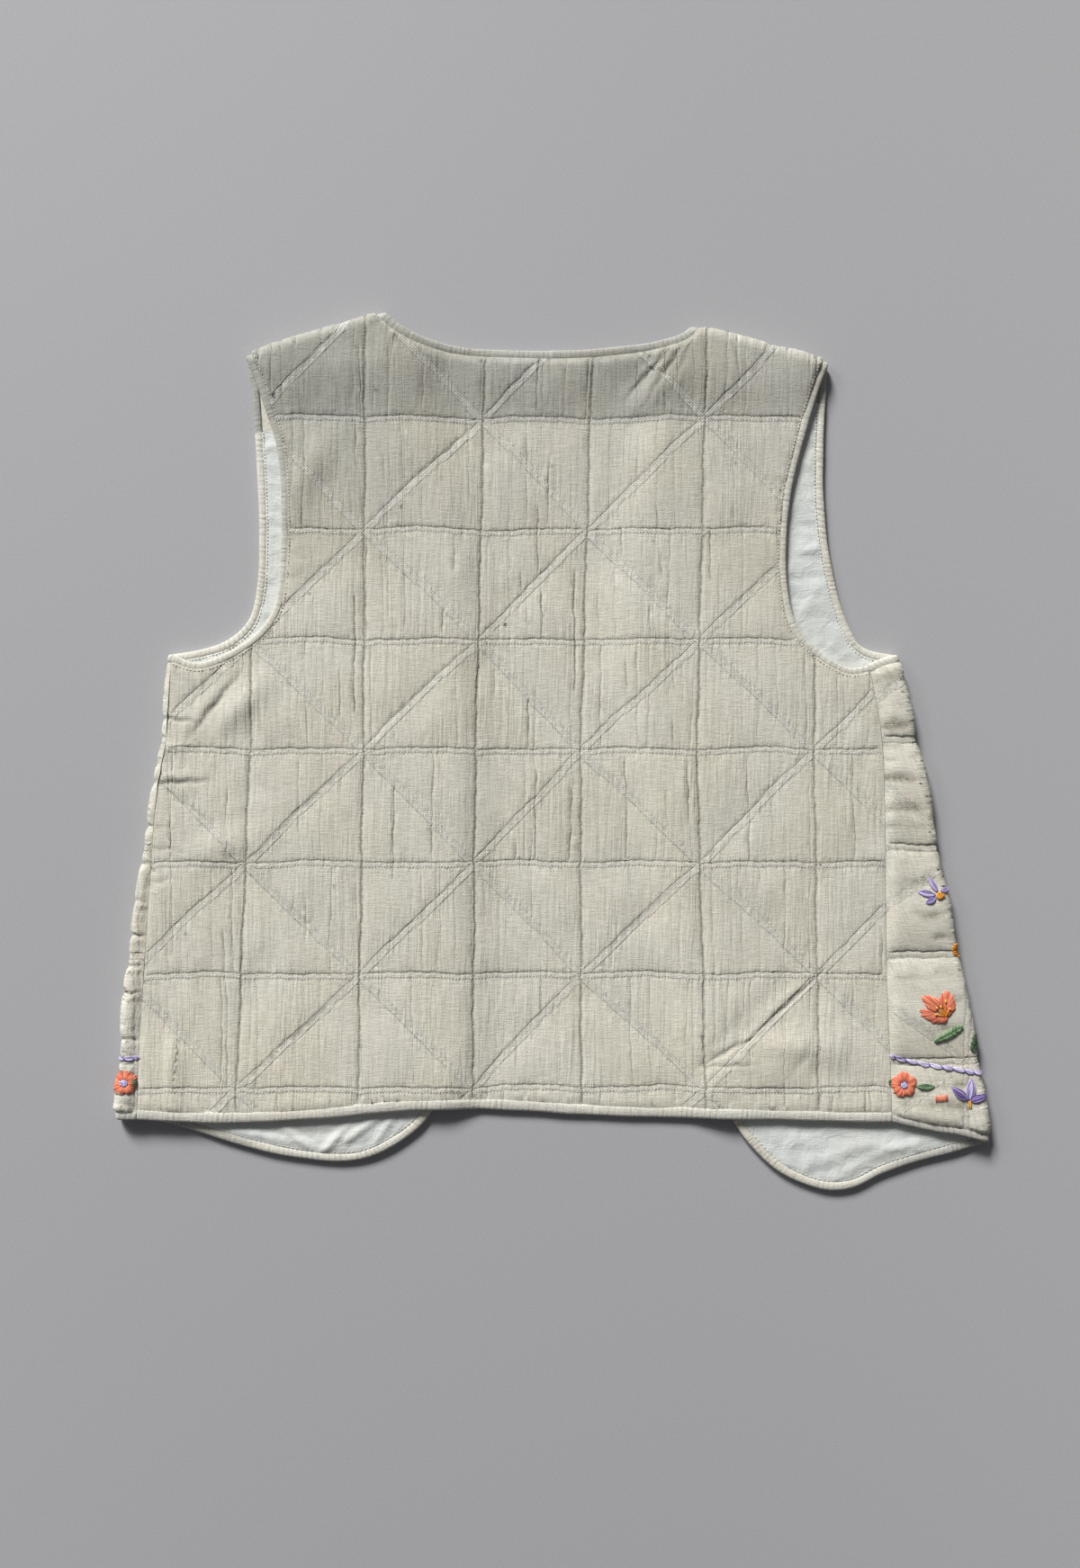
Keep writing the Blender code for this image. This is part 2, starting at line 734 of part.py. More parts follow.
def binding_rings(line, lay, facing):
    """The binding's rounded section at each point of an edge's middle line, bent as the cloth there is."""
    rings = []
    for i, point in enumerate(line):
        run = (line[min(i + 1, len(line) - 1)] - line[max(i - 1, 0)]).normalized()
        outward = Vector((run.y, -run.x))
        ring = []
        for k in range(BINDING_SIDES):
            angle = 2 * math.pi * (k + 0.5) / BINDING_SIDES
            across = math.copysign(abs(math.cos(angle)) ** 0.6, math.cos(angle)) * BINDING_WIDTH / 2
            up = math.copysign(abs(math.sin(angle)) ** 0.6, math.sin(angle)) * BINDING_THICKNESS / 2
            place = point + outward * across
            middle = lay(*place)
            middle.z += max(0.0, BINDING_THICKNESS / 2 - middle.z)
            ring.append(middle + normal_of(lay, *place) * facing * up)
        rings.append(ring)
    return rings


def binding(name, rings, closed, material):
    """A strip swept along the rings."""
    vertices = [place * MM for ring in rings for place in ring]
    faces = []
    rings = len(rings)
    for i in range(rings if closed else rings - 1):
        nxt = (i + 1) % rings
        for k in range(BINDING_SIDES):
            other = (k + 1) % BINDING_SIDES
            faces.append([v[0] * BINDING_SIDES + v[1] for v in ((i, k), (i, other), (nxt, other), (nxt, k))])
    if not closed:
        faces.append(list(range(BINDING_SIDES))[::-1])
        faces.append([(rings - 1) * BINDING_SIDES + k for k in range(BINDING_SIDES)])
    return add_object(name, vertices, faces, material)


def add_object(name, vertices, faces, material):
    mesh = bpy.data.meshes.new(name)
    mesh.from_pydata([v[:] for v in vertices], [], faces)
    shaped = bmesh.new()
    shaped.from_mesh(mesh)
    bmesh.ops.recalc_face_normals(shaped, faces=shaped.faces)
    shaped.to_mesh(mesh)
    shaped.free()
    mesh.materials.append(material)
    mesh.shade_smooth()
    mesh.set_sharp_from_angle(angle=math.radians(50))
    made = bpy.data.objects.new(name, mesh)
    bpy.context.scene.collection.objects.link(made)
    return made


def cloth_material(name, colour, roughness):
    material = bpy.data.materials.new(name)
    material.use_nodes = True
    shader = material.node_tree.nodes["Principled BSDF"]
    shader.inputs["Base Color"].default_value = (*colour, 1.0)
    shader.inputs["Roughness"].default_value = roughness
    shader.inputs["Metallic"].default_value = 0.0
    return material


# The pieces.


def curl_points(lines, outline):
    """Points along the lines that run round a fold, and the edges that keep those lines in the mesh."""
    points, creases = [], []
    for line in lines:
        last = None
        for point in line:
            if is_inside(point, outline) and clearance(point, outline) > CURL_STEP * 0.6:
                if last is not None:
                    creases.append((last, len(points)))
                last = len(points)
                points.append(point)
            else:
                last = None
    return points, creases


def shoulder_lines(half):
    start, out = SHOULDER_FRAMES[half]
    run = Vector((out.y, -out.x)) * half.sign
    steps = [k * EDGE_STEP for k in range(-4, 14)]
    return [[start + out * CURL_STEP * k + run * far for far in steps] for k in range(FOLD_STEPS + 1)]


def fold_lines(half):
    bottom, top = STRIP_HEM[half.name][-1].y - SEAM_RUN_ON, UNDERARM[half.name][0].y + SEAM_RUN_ON
    count = round((top - bottom) / BINDING_STEP)
    ys = [bottom + (top - bottom) * k / count for k in range(count + 1)]
    lines = []
    for k in range(FOLD_STEPS + 1):
        outs = [fold_at(half, y) - FOLD_EDGE + CURL_STEP * k for y in ys]
        lines.append([Vector((half.sign * out, y)) for out, y in zip(outs, ys)])
    return lines


def joined(first, second):
    """Two (points, creases) as one."""
    start = len(first[0])
    return [*first[0], *second[0]], [*first[1], *((a + start, b + start) for a, b in second[1])]


def make_back(edges, material):
    outline = outline_of(back_outline(edges, BINDING_INSET).values(), over_shoulder)

    def on_top(point):
        past = over_shoulder(*point)
        return past < -EDGE_CLEAR and is_inside(point, outline) and clearance(point, outline) > EDGE_CLEAR

    def well_off_curl(point):
        past = over_shoulder(*point)
        return past < -EDGE_STEP or past > CURL + EDGE_CLEAR

    def rise(x, y):
        return patch_rise(BACK_ROWS, BACK_COLUMNS, x, y) if over_shoulder(x, y) < CURL / 2 else 0.0

    curl = curl_points(shoulder_lines(RIGHT) + shoulder_lines(LEFT), outline)
    under = plain_points(outline, lambda p: over_shoulder(*p) > CURL + EDGE_CLEAR, EDGE_STEP * 2)
    quilted = joined(joined(lattice(BACK_ROWS, BACK_COLUMNS, on_top), curl), (under, []))
    plain = joined((plain_points(outline, well_off_curl, EDGE_STEP * 2), []), curl)
    return wall("back_panel", outline, quilted, plain, lay_back, WALL, 0.0, rise, None, material)


def make_front(half, edges, material):
    outline = outline_of(front_outline(half, edges, BINDING_INSET).values(), past_fold)
    lean = STRIP_COLUMNS if half is RIGHT else [Crossing(-c.hem, -c.hem, -c.hem) for c in STRIP_COLUMNS[::-1]]

    def on_strip(point):
        past = past_fold(*point)
        well_inside = is_inside(point, outline) and clearance(point, outline) > EDGE_CLEAR
        return well_inside and past > CURL + EDGE_CLEAR

    def off_curl(point):
        return past_fold(*point) < -EDGE_CLEAR or past_fold(*point) > CURL + EDGE_CLEAR

    def rise(x, y):
        return patch_rise(STRIP_ROWS, lean, x, y) * smoothstep(past_fold(x, y) / CURL - 0.5)

    curl = curl_points(fold_lines(half), outline)
    under = plain_points(outline, lambda p: past_fold(*p) < -EDGE_CLEAR)
    quilted = joined(joined(lattice(STRIP_ROWS, lean, on_strip), curl), (under, []))
    plain = joined((plain_points(outline, off_curl), []), curl)
    return wall("front_" + half.name, outline, plain, quilted, lay_front, WALL, 0.0, None, rise, material)


def make_lining(half, edges, material):
    outline = outline_of(lining_outline(half, edges).values(), past_fold)
    points = (plain_points(outline, lambda point: True), [])
    offset = WALL / 2 + GAP + LINING / 2
    name = "lining_" + half.name
    return wall(name, outline, points, points, lay_front, LINING, offset, None, None, material)


def bound_rings(line, lay, facing, past_at):
    return binding_rings(spaced(finer(line), BINDING_STEP, past_at), lay, facing)


def make_armhole_binding(half, back_lines, front_lines, material):
    """A closed ring: up the back's armhole, over the shoulder, down the front's and round the underarm."""
    name = "armhole_" + half.name
    back = bound_rings(back_lines[name][:: half.sign], lay_back, 1, over_shoulder)
    front = bound_rings(front_lines["armhole"][:: half.sign], lay_front, -1, past_fold)
    if half is LEFT:
        back, front = back[::-1], front[::-1]
    rings = back
    for ring in front[::-1]:
        if (ring[0] - rings[-1][0]).length > CURL_STEP:
            rings.append(ring)
    while (rings[-1][0] - rings[0][0]).length < CURL_STEP:
        rings.pop()
    return binding("armhole_binding_" + half.name, rings, True, material)


def make_open_binding(name, line, lay, facing, past_at, material):
    """A strip along one edge, cut a gap short of the seam at each end."""
    fine = finer(line, 0.2)
    return binding(name, bound_rings(fine[2:-2], lay, facing, past_at), False, material)


def clear_scene():
    for old in list(bpy.data.objects):
        bpy.data.objects.remove(old, do_unlink=True)


def main():
    clear_scene()
    cream = cloth_material("quilted_cotton", (0.60, 0.57, 0.47), 0.95)
    pale = cloth_material("lining_cotton", (0.66, 0.69, 0.66), 0.9)
    edge = cloth_material("binding_cotton", (0.66, 0.64, 0.55), 0.92)

    back = back_edges()
    back_lines = back_outline(back, BINDING_WIDTH / 2)
    make_back(back, cream)
    for half in (LEFT, RIGHT):
        front = front_edges(half)
        front_lines = front_outline(half, front, BINDING_WIDTH / 2)
        make_front(half, front, cream)
        make_lining(half, front, pale)
        make_armhole_binding(half, back_lines, front_lines, edge)
        make_open_binding("edge_binding_" + half.name, front_lines["edge"], lay_front, -1, past_fold, edge)
    make_open_binding("hem_binding", back_lines["hem"], lay_back, 1, over_shoulder, edge)
    make_open_binding("neck_binding", back_lines["neck"], lay_back, 1, over_shoulder, edge)


main()
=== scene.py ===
"""The looks of an embroidered waistcoat of quilted cotton, laid face down with its back up.

Each piece of cloth is cut out flat, as a pattern, and laid by the same rules as the CAD solid that it stands
for, on a much finer mesh: quilted bands, crinkles, puckers, stitches and embroidery are modelled. Sizes are
in millimetres until a mesh is made, X to the right, Y towards the neck, Z up.
"""

import math
import random
from collections import namedtuple

import bpy
import numpy as np
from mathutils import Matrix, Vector
from mathutils.geometry import delaunay_2d_cdt, intersect_line_line_2d
from mathutils.kdtree import KDTree


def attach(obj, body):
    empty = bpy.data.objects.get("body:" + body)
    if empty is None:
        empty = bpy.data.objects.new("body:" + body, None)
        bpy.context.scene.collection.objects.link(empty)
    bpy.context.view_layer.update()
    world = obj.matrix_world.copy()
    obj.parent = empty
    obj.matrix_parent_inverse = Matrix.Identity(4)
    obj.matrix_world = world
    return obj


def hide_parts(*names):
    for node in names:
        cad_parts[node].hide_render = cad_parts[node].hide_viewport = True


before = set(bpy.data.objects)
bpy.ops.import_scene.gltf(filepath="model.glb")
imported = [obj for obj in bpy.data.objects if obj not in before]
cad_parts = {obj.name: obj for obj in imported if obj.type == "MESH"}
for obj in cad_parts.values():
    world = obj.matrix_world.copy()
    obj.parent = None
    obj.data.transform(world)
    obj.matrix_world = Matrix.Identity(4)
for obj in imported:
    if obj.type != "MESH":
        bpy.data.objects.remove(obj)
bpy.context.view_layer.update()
MM = 0.001

# ---------------------------------------------------------------------------------------------------------
# Sizes and tables that the solids have too.

WALL = 2.4
LINING = 1.0
GAP = 0.3
FOLD_RADIUS = 3.1  # of the wall's middle, round a fold
BINDING_THICKNESS = 4.2
LYING = 5.5  # how high the upper layer's inner face lies
LYING_LEAST = 4.7  # and the least height where a crease sinks it
TROUGH_EASE = 0.3
SAG = 4.8  # how much lower it lies between the fronts' upright edges
SAG_RAMP = 34.0
FOLD_REACH = 46.0  # the upper layer rises towards a fold from this far
FOLD_EDGE = WALL / 2 + FOLD_RADIUS
CURL = math.pi * FOLD_RADIUS  # how much of the pattern goes round a fold
SHOULDER_LENGTH = 92.0
SEAM_RUN_ON = 40.0  # how far a seam's line is drawn out, to be cut off where it meets the next edge
EDGE_RUN_ON = 10.5  # and an edge that is moved in
LINING_SHORT = 2  # a lining stops this far before the side fold's curl
BACK_ROUND = ("hem", "side_right", "armhole_right", "shoulder_right")
BACK_ROUND += ("neck", "shoulder_left", "armhole_left", "side_left")
FRONT_ROUND = ("edge", "shoulder", "armhole", "side")

Point = namedtuple("Point", "x y")
Half = namedtuple("Half", "name sign")
Side = namedtuple("Side", "y seam fold")
Shoulder = namedtuple("Shoulder", "neck tip wrap")
Crossing = namedtuple("Crossing", "hem chest shoulder")
Crease = namedtuple("Crease", "x y angle length width height")
Crinkle = namedtuple("Crinkle", "x top bottom depth half", defaults=(0.45,))
Tuck = namedtuple("Tuck", "y depth")
Wave = namedtuple("Wave", "rate phase")

LEFT = Half("left", -1)
RIGHT = Half("right", 1)
HALVES = (LEFT, RIGHT)


def table(kind, *rows):
    return [kind(*row) for row in rows]


SIDES = {
    LEFT: table(
        Side, (-248, 276.5, 291.5), (-206, 275.5, 288.5), (-158, 272.4, 284.5), (-98, 268.5, 277.5),
        (-38, 264.0, 268.5), (10, 256.5, 260.5), (69, 252.2, 255.35),
    ),
    RIGHT: table(
        Side, (-248, 227.0, 290.5), (-206, 225.6, 285.0), (-158, 223.5, 276.0), (-98, 222.6, 263.5),
        (-38, 222.0, 253.0), (10, 220.0, 243.0), (66, 210.0, 230.6),
    ),
}
SHOULDERS = {
    LEFT: Shoulder(Point(115.8, 292.8), Point(204.0, 265.2), 50.0),
    RIGHT: Shoulder(Point(97.2, 283.8), Point(184.2, 261.0), 26.0),
}
BACK_ARMHOLE = {
    LEFT: table(
        Point, (251.2, 65.0), (234.2, 60.6), (209.0, 71.5), (190.5, 88.0), (182.5, 112.0), (180.5, 165.0),
        (183.6, 203.4), (191.5, 230.0), (199.5, 253.5),
    ),
    RIGHT: table(
        Point, (211.0, 58.8), (197.4, 57.4), (178.0, 69.0), (162.0, 89.0), (156.6, 126.6), (159.6, 171.0),
        (167.5, 206.0), (175.0, 231.5), (181.0, 250.0),
    ),
}
TAB_ARMHOLE = {
    LEFT: table(Point, (203.0, 254.0), (200.6, 236.0), (199.3, 214.0)),
    RIGHT: table(Point, (184.6, 250.0), (184.2, 240.0), (183.6, 234.0)),
}
FRONT_ARMHOLE = {
    LEFT: table(
        Point, (199.3, 216.0), (197.0, 178.0), (196.2, 145.0), (197.6, 112.0), (203.0, 90.0), (217.0, 76.0),
        (236.0, 69.4),
    ),
    RIGHT: table(
        Point, (184.0, 236.0), (182.6, 205.0), (182.6, 171.0), (186.0, 136.0), (192.8, 104.4), (200.8, 82.0),
        (211.6, 69.6),
    ),
}
UNDERARM = {
    LEFT: table(Point, (252.2, 65.5)),
    RIGHT: table(Point, (222.0, 63.8), (210.0, 58.8)),
}
BACK_NECK = table(
    Point, (88.0, 280.8), (73.2, 275.9), (56.0, 273.2), (22.2, 270.4), (-7.8, 270.1), (-46.8, 271.3),
    (-67.8, 273.6), (-84.6, 278.0), (-97.2, 283.8), (-106.5, 290.2),
)
TAB_NECK = {
    LEFT: table(Point, (112.5, 284.0), (108.0, 268.0), (102.0, 245.0)),
    RIGHT: table(Point, (95.0, 276.0), (92.5, 267.0), (90.0, 258.0)),
}
BACK_HEM = table(
    Point, (-276.5, -244.8), (-217.8, -247.4), (-160.0, -244.8), (-101.4, -239.5), (-60.0, -239.0),
    (-20.0, -240.2), (16.0, -242.6), (64.2, -244.6), (140.0, -245.0), (190.0, -246.4), (227.0, -246.6),
)
STRIP_HEM = {
    LEFT: table(Point, (276.5, -244.8)),
    RIGHT: table(Point, (227.0, -246.6), (256.0, -253.0), (276.0, -256.0)),
}
FRONT_EDGE = {
    LEFT: table(
        Point, (270.0, -246.0), (238.0, -254.0), (205.0, -264.2), (168.0, -272.0), (132.0, -273.6),
        (104.8, -263.0), (82.0, -243.0), (70.0, -208.0), (67.0, -150.0), (66.0, 40.0), (68.0, 110.0),
        (79.0, 170.0), (100.5, 240.0),
    ),
    RIGHT: table(
        Point, (272.0, -267.2), (245.0, -274.5), (222.0, -282.3), (201.0, -292.0), (178.0, -292.0),
        (149.6, -279.0), (126.0, -254.0), (113.0, -222.0), (103.0, -165.0), (68.0, 30.0), (60.0, 90.0),
        (68.0, 160.0), (88.0, 252.0),
    ),
}
BACK_ROWS = [-301.0, -225.6, -149.4, -75.0, 0.6, 73.8, 147.6, 222.6, 297.6, 372.6]
BACK_COLUMNS = table(
    Crossing, (-287.0, -276.0, -272.0), (-210.0, -201.0, -197.0), (-129.0, -125.5, -124.5),
    (-53.0, -51.0, -45.5), (20.0, 19.5, 26.0), (103.0, 97.0, 102.0), (178.0, 175.0, 176.0),
    (254.0, 250.0, 250.0),
)
FRONT_ROWS = [-348.0, -277.0, -206.0, -135.0, -64.0, 8.0, 79.0, 150.0, 221.0, 292.0]
FRONT_COLUMNS = [86.0, 181.0, 276.0, 371.0, 466.0, 561.0]  # for a front opened out beyond its side fold
HEM_Y = -225.0
CHEST_Y = 0.0
SHOULDER_Y = 222.0
CREASES = table(
    Crease, (-212, 26, 48, 62, 9, 2.6), (-231, 8, 30, 70, 10, -1.5), (-222, -62, 18, 60, 12, 2.0),
    (-160, 190, 62, 60, 10, 1.9), (-172, 250, 80, 34, 6, 1.6), (70, 242, 38, 50, 8, 1.8),
    (158, -200, 8, 74, 13, 2.6), (122, -188, 48, 70, 7, -1.8), (-252, -214, 88, 44, 6, 2.0),
    (-196, -150, 66, 54, 8, -1.5), (236, -66, 4, 44, 8, 1.8), (250, -178, -22, 48, 8, 1.9),
)

# ---------------------------------------------------------------------------------------------------------
# Finer form.

PUFF = 0.5  # how high the quilting stands everywhere but in its stitched grooves
BACK_CROWN = 1.5  # and how much more in the middle of a patch, far from any stitches
TOP_SWELL = 2.6  # the back swells above its highest row
STRIP_CROWN = 2.2
STRIP_PADDING = 1.7  # how much more a strip swells between two rows
PUFF_TILT = 0.3  # how much higher one side of a patch may be than its middle
CROWN_REACH = 13.0
GROOVE_HALF = 0.5
GROOVE_DEPTH = 0.5
SLOPE_REACH = 1.9  # the cloth falls softly towards a stitched groove from this far
SLOPE_DEPTH = 0.38
ARC_SPAN = 75.1  # a row bows up between two columns
ARC_START = -276.0
ARC_RISE = 1.5
BACK_BANDS = (1.6, 0.25, 2.1)  # half the width of a stitched row, column and diagonal
STRIP_BANDS = (2.1, 1.6, 2.2)
# How deep the grooves are above a row, below it, at a column, and on the upper left and the lower right of a
# diagonal that rises to the right, and beside one that falls.
BACK_GROOVES = (0.82, 0.32, 1.15, 0.66, 0.1, 0.15)
STRIP_GROOVES = (1.0, 0.9, 0.6, 0.2, 0.05, 0.1)
BACK_ROLLS = {"hem": 7.8, "armhole": 5.4, "neck": 6.6}  # how wide the rolled edges are
FRONT_ROLLS = {"edge": 6.2, "armhole": 5.6}
OVERLAP = 1.0  # how far a panel runs into its binding
ALONG_STEP = 3.1  # mesh points along a band
STRIP_STEP = 1.5  # finer on the fronts, whose lines cross the side fold
CRINKLE_SHARE = 1.3  # and longer by this share along a crinkle
FILL_STEP = 3.3
CURL_STEP = 1.6
LINING_STEP = 2.2
PLAIN_STEP = 9.0
OUTLINE_STEP = 2.4
BINDING_STEP = 0.9
BINDING_SIDES = 16
ROLL_PITCH = 3.4  # from pucker to pucker of a rolled edge
STITCH_PITCH = 2.3
STITCH_GAP = 0.4  # from a rolled edge to the stitches beside it
ARMHOLE_THICKNESS = 3.4  # of the rolled edge along the back's part of an armhole
PUCKER_PITCH = 5.4  # puckers along a bound edge
PUCKER_REACH = 6.0
PUCKER_DEPTH = 0.48
LEAST_RELIEF = 0.35  # the share of a panel's relief that is left at a seam or a bound edge
SEAM_HIDDEN = 2.4
REST_GROOVE = 0.4  # how deep the grooves are where a panel rests
GROOVE_PAINTED_SHADE = 0.66  # how dark the painted shade is that the shader lays in grooves, and in other hollows for each millimetre
CRINKLE_PAINTED_SHADE = 1.9
PUCKER_PAINTED_SHADE = 0.5
EDGE_PAINTED_SHADE = 0.45
PLAIN_TONE = 0.86  # of inner faces and linings
THREAD_WIDTH = 0.85  # of the embroidery
FINE_SHARE = 0.8  # how much of the fine creases shows
LONG_CRINKLES = 26  # crinkles that cross rows
CRINKLE_REACH = 11.0
OPEN_BELOW = -247.0  # nothing lies over the linings below here
FLOOR = 3000.0  # half the width of the floor
WAVER = 0.9
RIPPLE = 0.26
WAVES = table(Wave, (0.031, 0.3), (0.083, 2.1), (0.171, 4.0))

# Crinkles seen best. More like them are spread by the loop in make_crinkles.
CRINKLES = table(
    Crinkle, (-131, 107, 25, 0.8), (-73, 99, 78, 0.6), (-65, 147, 119, 0.5), (-9, 166, 116, 0.7),
    (-20, 123, 105, 0.5), (-17, 99, 74, 0.4), (-7, 109, 74, 0.6), (15, 124, 40, 0.9), (47, 152, 128, 0.5),
    (70, 166, 148, 0.6), (73, 136, 114, 0.4), (106, 150, 113, 0.7), (66, 99, 74, 0.5), (-38, 60, 34, 0.4),
    (-15, 38, 1, 0.8), (-11, -9, -75, 0.7), (12, -22, -74, 0.7), (-24, -59, -75, 0.5), (-106, -21, -86, 0.7),
    (-105, 17, 4, 0.5), (50, 64, 38, 0.5), (50, -4, -73, 0.6), (81, 22, 5, 0.4), (91, -2, -49, 0.8),
    (70, -54, -75, 0.5),
)

# Softer creases that only the cloth here has, in the back as it lies.
FINE_CREASES = table(
    Crease, (-214, 214, 74, 40, 6, 0.7), (-150, 232, 50, 46, 7, 0.6), (-118, 262, 12, 40, 6, 0.6),
    (-60, 250, 88, 30, 8, -0.5), (20, 252, 84, 28, 7, 0.5), (120, 246, -14, 44, 7, 0.6),
    (-238, 44, 62, 34, 5, 0.9), (-232, -20, 40, 44, 6, -0.6), (-206, -36, 10, 50, 6, 0.6),
    (-180, -200, 84, 40, 7, 0.7), (-236, -140, 75, 60, 8, 0.7), (-255, -110, 88, 48, 6, -0.5),
    (-110, -196, 92, 44, 8, 0.6), (-20, -205, 88, 40, 9, 0.5), (186, -214, -12, 60, 8, -0.7),
    (130, -222, 8, 60, 7, 0.7), (196, -150, 64, 60, 8, 0.6), (150, 60, 100, 60, 9, 0.5),
    (205, 10, 80, 50, 8, 0.6),
)

# Sharp creases of the back's outer face alone.
PUCKERS = table(
    Crease, (78, 256, 57, 52, 1.3, -0.5), (74.5, 258, 57, 48, 2.4, 0.7), (64, 252, 48, 36, 1.3, -0.5),
    (61, 254, 48, 34, 2.2, 0.5), (70, 255, -27, 15, 1.3, -0.5), (88, 262, 68, 36, 1.4, -0.4),
    (157, -168, 43, 58, 1.3, -0.75), (154, -165, 43, 50, 3.0, 0.5), (120, -198, 28, 42, 1.4, -0.6),
    (118, -194, 28, 36, 3.0, 0.45), (117, -209, 3, 34, 1.4, -0.55), (152, -203, -2, 44, 6.0, -0.9),
    (166, -206, 60, 26, 3.0, -0.5), (-249.6, -206, 85, 34, 1.6, -0.45), (-254, -206, 85, 38, 3.4, 0.6),
    (-236, -150, 100, 40, 1.6, -0.3), (-224, 32, 52, 44, 1.8, -0.9), (-228, 35, 52, 42, 4.0, 0.9),
    (-250, -20, 3, 38, 1.6, -0.7), (-251, -15.5, 3, 36, 3.0, 0.7), (-246, -33, -36, 30, 1.8, -0.5),
    (-267, -50, 6, 16, 1.5, -0.6), (-252, 4, 8, 26, 2.4, 0.5), (-262, -86, 12, 18, 1.6, -0.5),
    (-251, 22, -7, 24, 1.5, -0.6), (-252, 26, -7, 22, 3.0, 0.5), (-262, -64, -4, 22, 1.5, -0.45),
)

# Wrinkles of the linings, where they show.
LINING_CREASES = {
    LEFT: table(
        Crease, (-170, -258, -38, 26, 2.6, 1.8), (-148, -262, 48, 34, 2.8, 2.0),
        (-130, -254, 36, 34, 2.6, 1.6), (-196, -256, -10, 40, 2.4, 1.2), (-112, -252, 58, 26, 2.4, 1.3),
        (-158, -255, 4, 40, 2.6, -0.8), (-203, 95, 4, 14, 2.0, 0.8), (-192, 160, -12, 14, 2.2, 0.7),
        (-188, 205, 8, 14, 2.0, 0.6),
    ),
    RIGHT: table(
        Crease, (178, 137, 10, 24, 2.2, 1.0), (170, 152, -14, 20, 2.4, -0.6), (190, -270, 20, 60, 5.0, 0.9),
        (206, -276, 30, 40, 3.4, 0.9), (160, -266, 70, 30, 4.0, 0.8), (225, -264, -6, 50, 3.6, 0.8),
        (240, -262, 16, 40, 3.0, 0.9), (172, 100, 60, 30, 4.0, 0.5), (160, 190, 80, 30, 3.0, 0.5),
    ),
}

# Tucks across the left side's fold, where the cloth bunches as it turns under.
LEFT_TUCKS = table(
    Tuck, (23.0, 1.3), (-7.0, 0.8), (-20.0, 1.2), (-49.0, 1.5), (-74.0, 1.1), (-99.0, 0.7), (-122.0, 1.5),
    (-142.0, 1.1), (-160.0, 1.3), (-191.0, 1.3), (-214.0, 0.9),
)
TUCK_HALF = 3.4

# Each cotton's dark, light, cool and warm tones, and each thread's dark and light ones.
COTTONS = {
    "quilted_cotton": ((199, 195, 182), (244, 241, 230), (247, 251, 250), (252, 249, 241)),
    "binding_cotton": ((206, 204, 194), (242, 240, 231), (246, 248, 248), (251, 247, 240)),
    "lining_cotton": ((226, 230, 229), (238, 242, 238), (246, 248, 252), (250, 247, 244)),
}
THREADS = {
    "coral": ((206, 88, 62), (255, 164, 130)),
    "lavender": ((158, 148, 204), (232, 226, 250)),
    "violet": ((96, 74, 146), (180, 160, 222)),
    "green": ((84, 120, 84), (148, 178, 138)),
    "deep_green": ((56, 84, 58), (104, 136, 102)),
    "orange": ((220, 130, 20), (255, 196, 84)),
}


def smoothstep(share):
    share = np.clip(share, 0.0, 1.0)
    return share * share * (3 - 2 * share)


def along(rows, value, column):
    """A column of a table at a value of its first column, read from a smooth curve through the rows."""
    places = [row[0] for row in rows]
    heights = [getattr(row, column) for row in rows]
    last = len(rows) - 1
    i = min(max(sum(value > place for place in places) - 1, 0), last - 1)
    slopes = []
    for k in (i, i + 1):
        before, after = max(k - 1, 0), min(k + 1, last)
        slopes.append((heights[after] - heights[before]) / (places[after] - places[before]))
    span = places[i + 1] - places[i]
    t = (value - places[i]) / span
    if not 0 <= t <= 1:
        end = round(min(max(t, 0), 1))
        return heights[i + end] + slopes[end] * (value - places[i + end])
    rise = heights[i] * (1 + 2 * t) * (1 - t) ** 2 + heights[i + 1] * t * t * (3 - 2 * t)
    return rise + span * (slopes[0] * t * (1 - t) ** 2 - slopes[1] * t * t * (1 - t))


def fold_out(half, y):
    """How far out a side's fold is, drawn in at the tucks."""
    fold = along(SIDES[half], y, "fold")
    if half is LEFT:
        fold -= sum(tuck.depth * math.exp(-(((y - tuck.y) / TUCK_HALF) ** 2)) for tuck in LEFT_TUCKS)
    return fold


SIDE_YS = np.arange(-330.0, 160.0, 1.0)
SIDE_LINES = {(half, "seam"): np.array([along(SIDES[half], y, "seam") for y in SIDE_YS]) for half in HALVES}
SIDE_LINES |= {(half, "fold"): np.array([fold_out(half, y) for y in SIDE_YS]) for half in HALVES}


def side_line(column, x, y):
    """How far out the seam or the fold is, at places on either half."""
    left, right = (np.interp(y, SIDE_YS, SIDE_LINES[half, column]) for half in HALVES)
    return np.where(np.asarray(x) < 0, left, right)


def curve(points, step=2.0):
    """A smooth line through the points, as a Catmull-Rom curve."""
    line = []
    ends = [Vector(p) for p in (points[0], *points, points[-1])]
    for p0, p1, p2, p3 in zip(ends, ends[1:], ends[2:], ends[3:]):
        count = max(1, math.ceil((p2 - p1).length / step))
        for k in range(count):
            t = k / count
            bend = t**2 * (2 * p0 - 5 * p1 + 4 * p2 - p3)
            line.append(0.5 * (2 * p1 + t * (p2 - p0) + bend + t**3 * (3 * p1 - p0 - 3 * p2 + p3)))
    return [*line, ends[-1]]


def units(rows):
    return rows / np.linalg.norm(rows, axis=1)[:, None]


def unit(vector):
    return vector / np.linalg.norm(vector)


def left_of(way):
    return np.array((-way[1], way[0]))


def direction(angle):
    return np.array((math.cos(angle), math.sin(angle)))


def walked_along(line):
    """How far along a line each of its points is."""
    return np.concatenate(([0], np.cumsum(np.linalg.norm(np.diff(line, axis=0), axis=1))))


def interpolated(stops, walked, values):
    return np.stack([np.interp(stops, walked, values[:, k]) for k in (0, 1)], axis=-1)


# ---------------------------------------------------------------------------------------------------------
# Laying the pattern out in space. Each of these takes many points at once, as an array with a row for each.


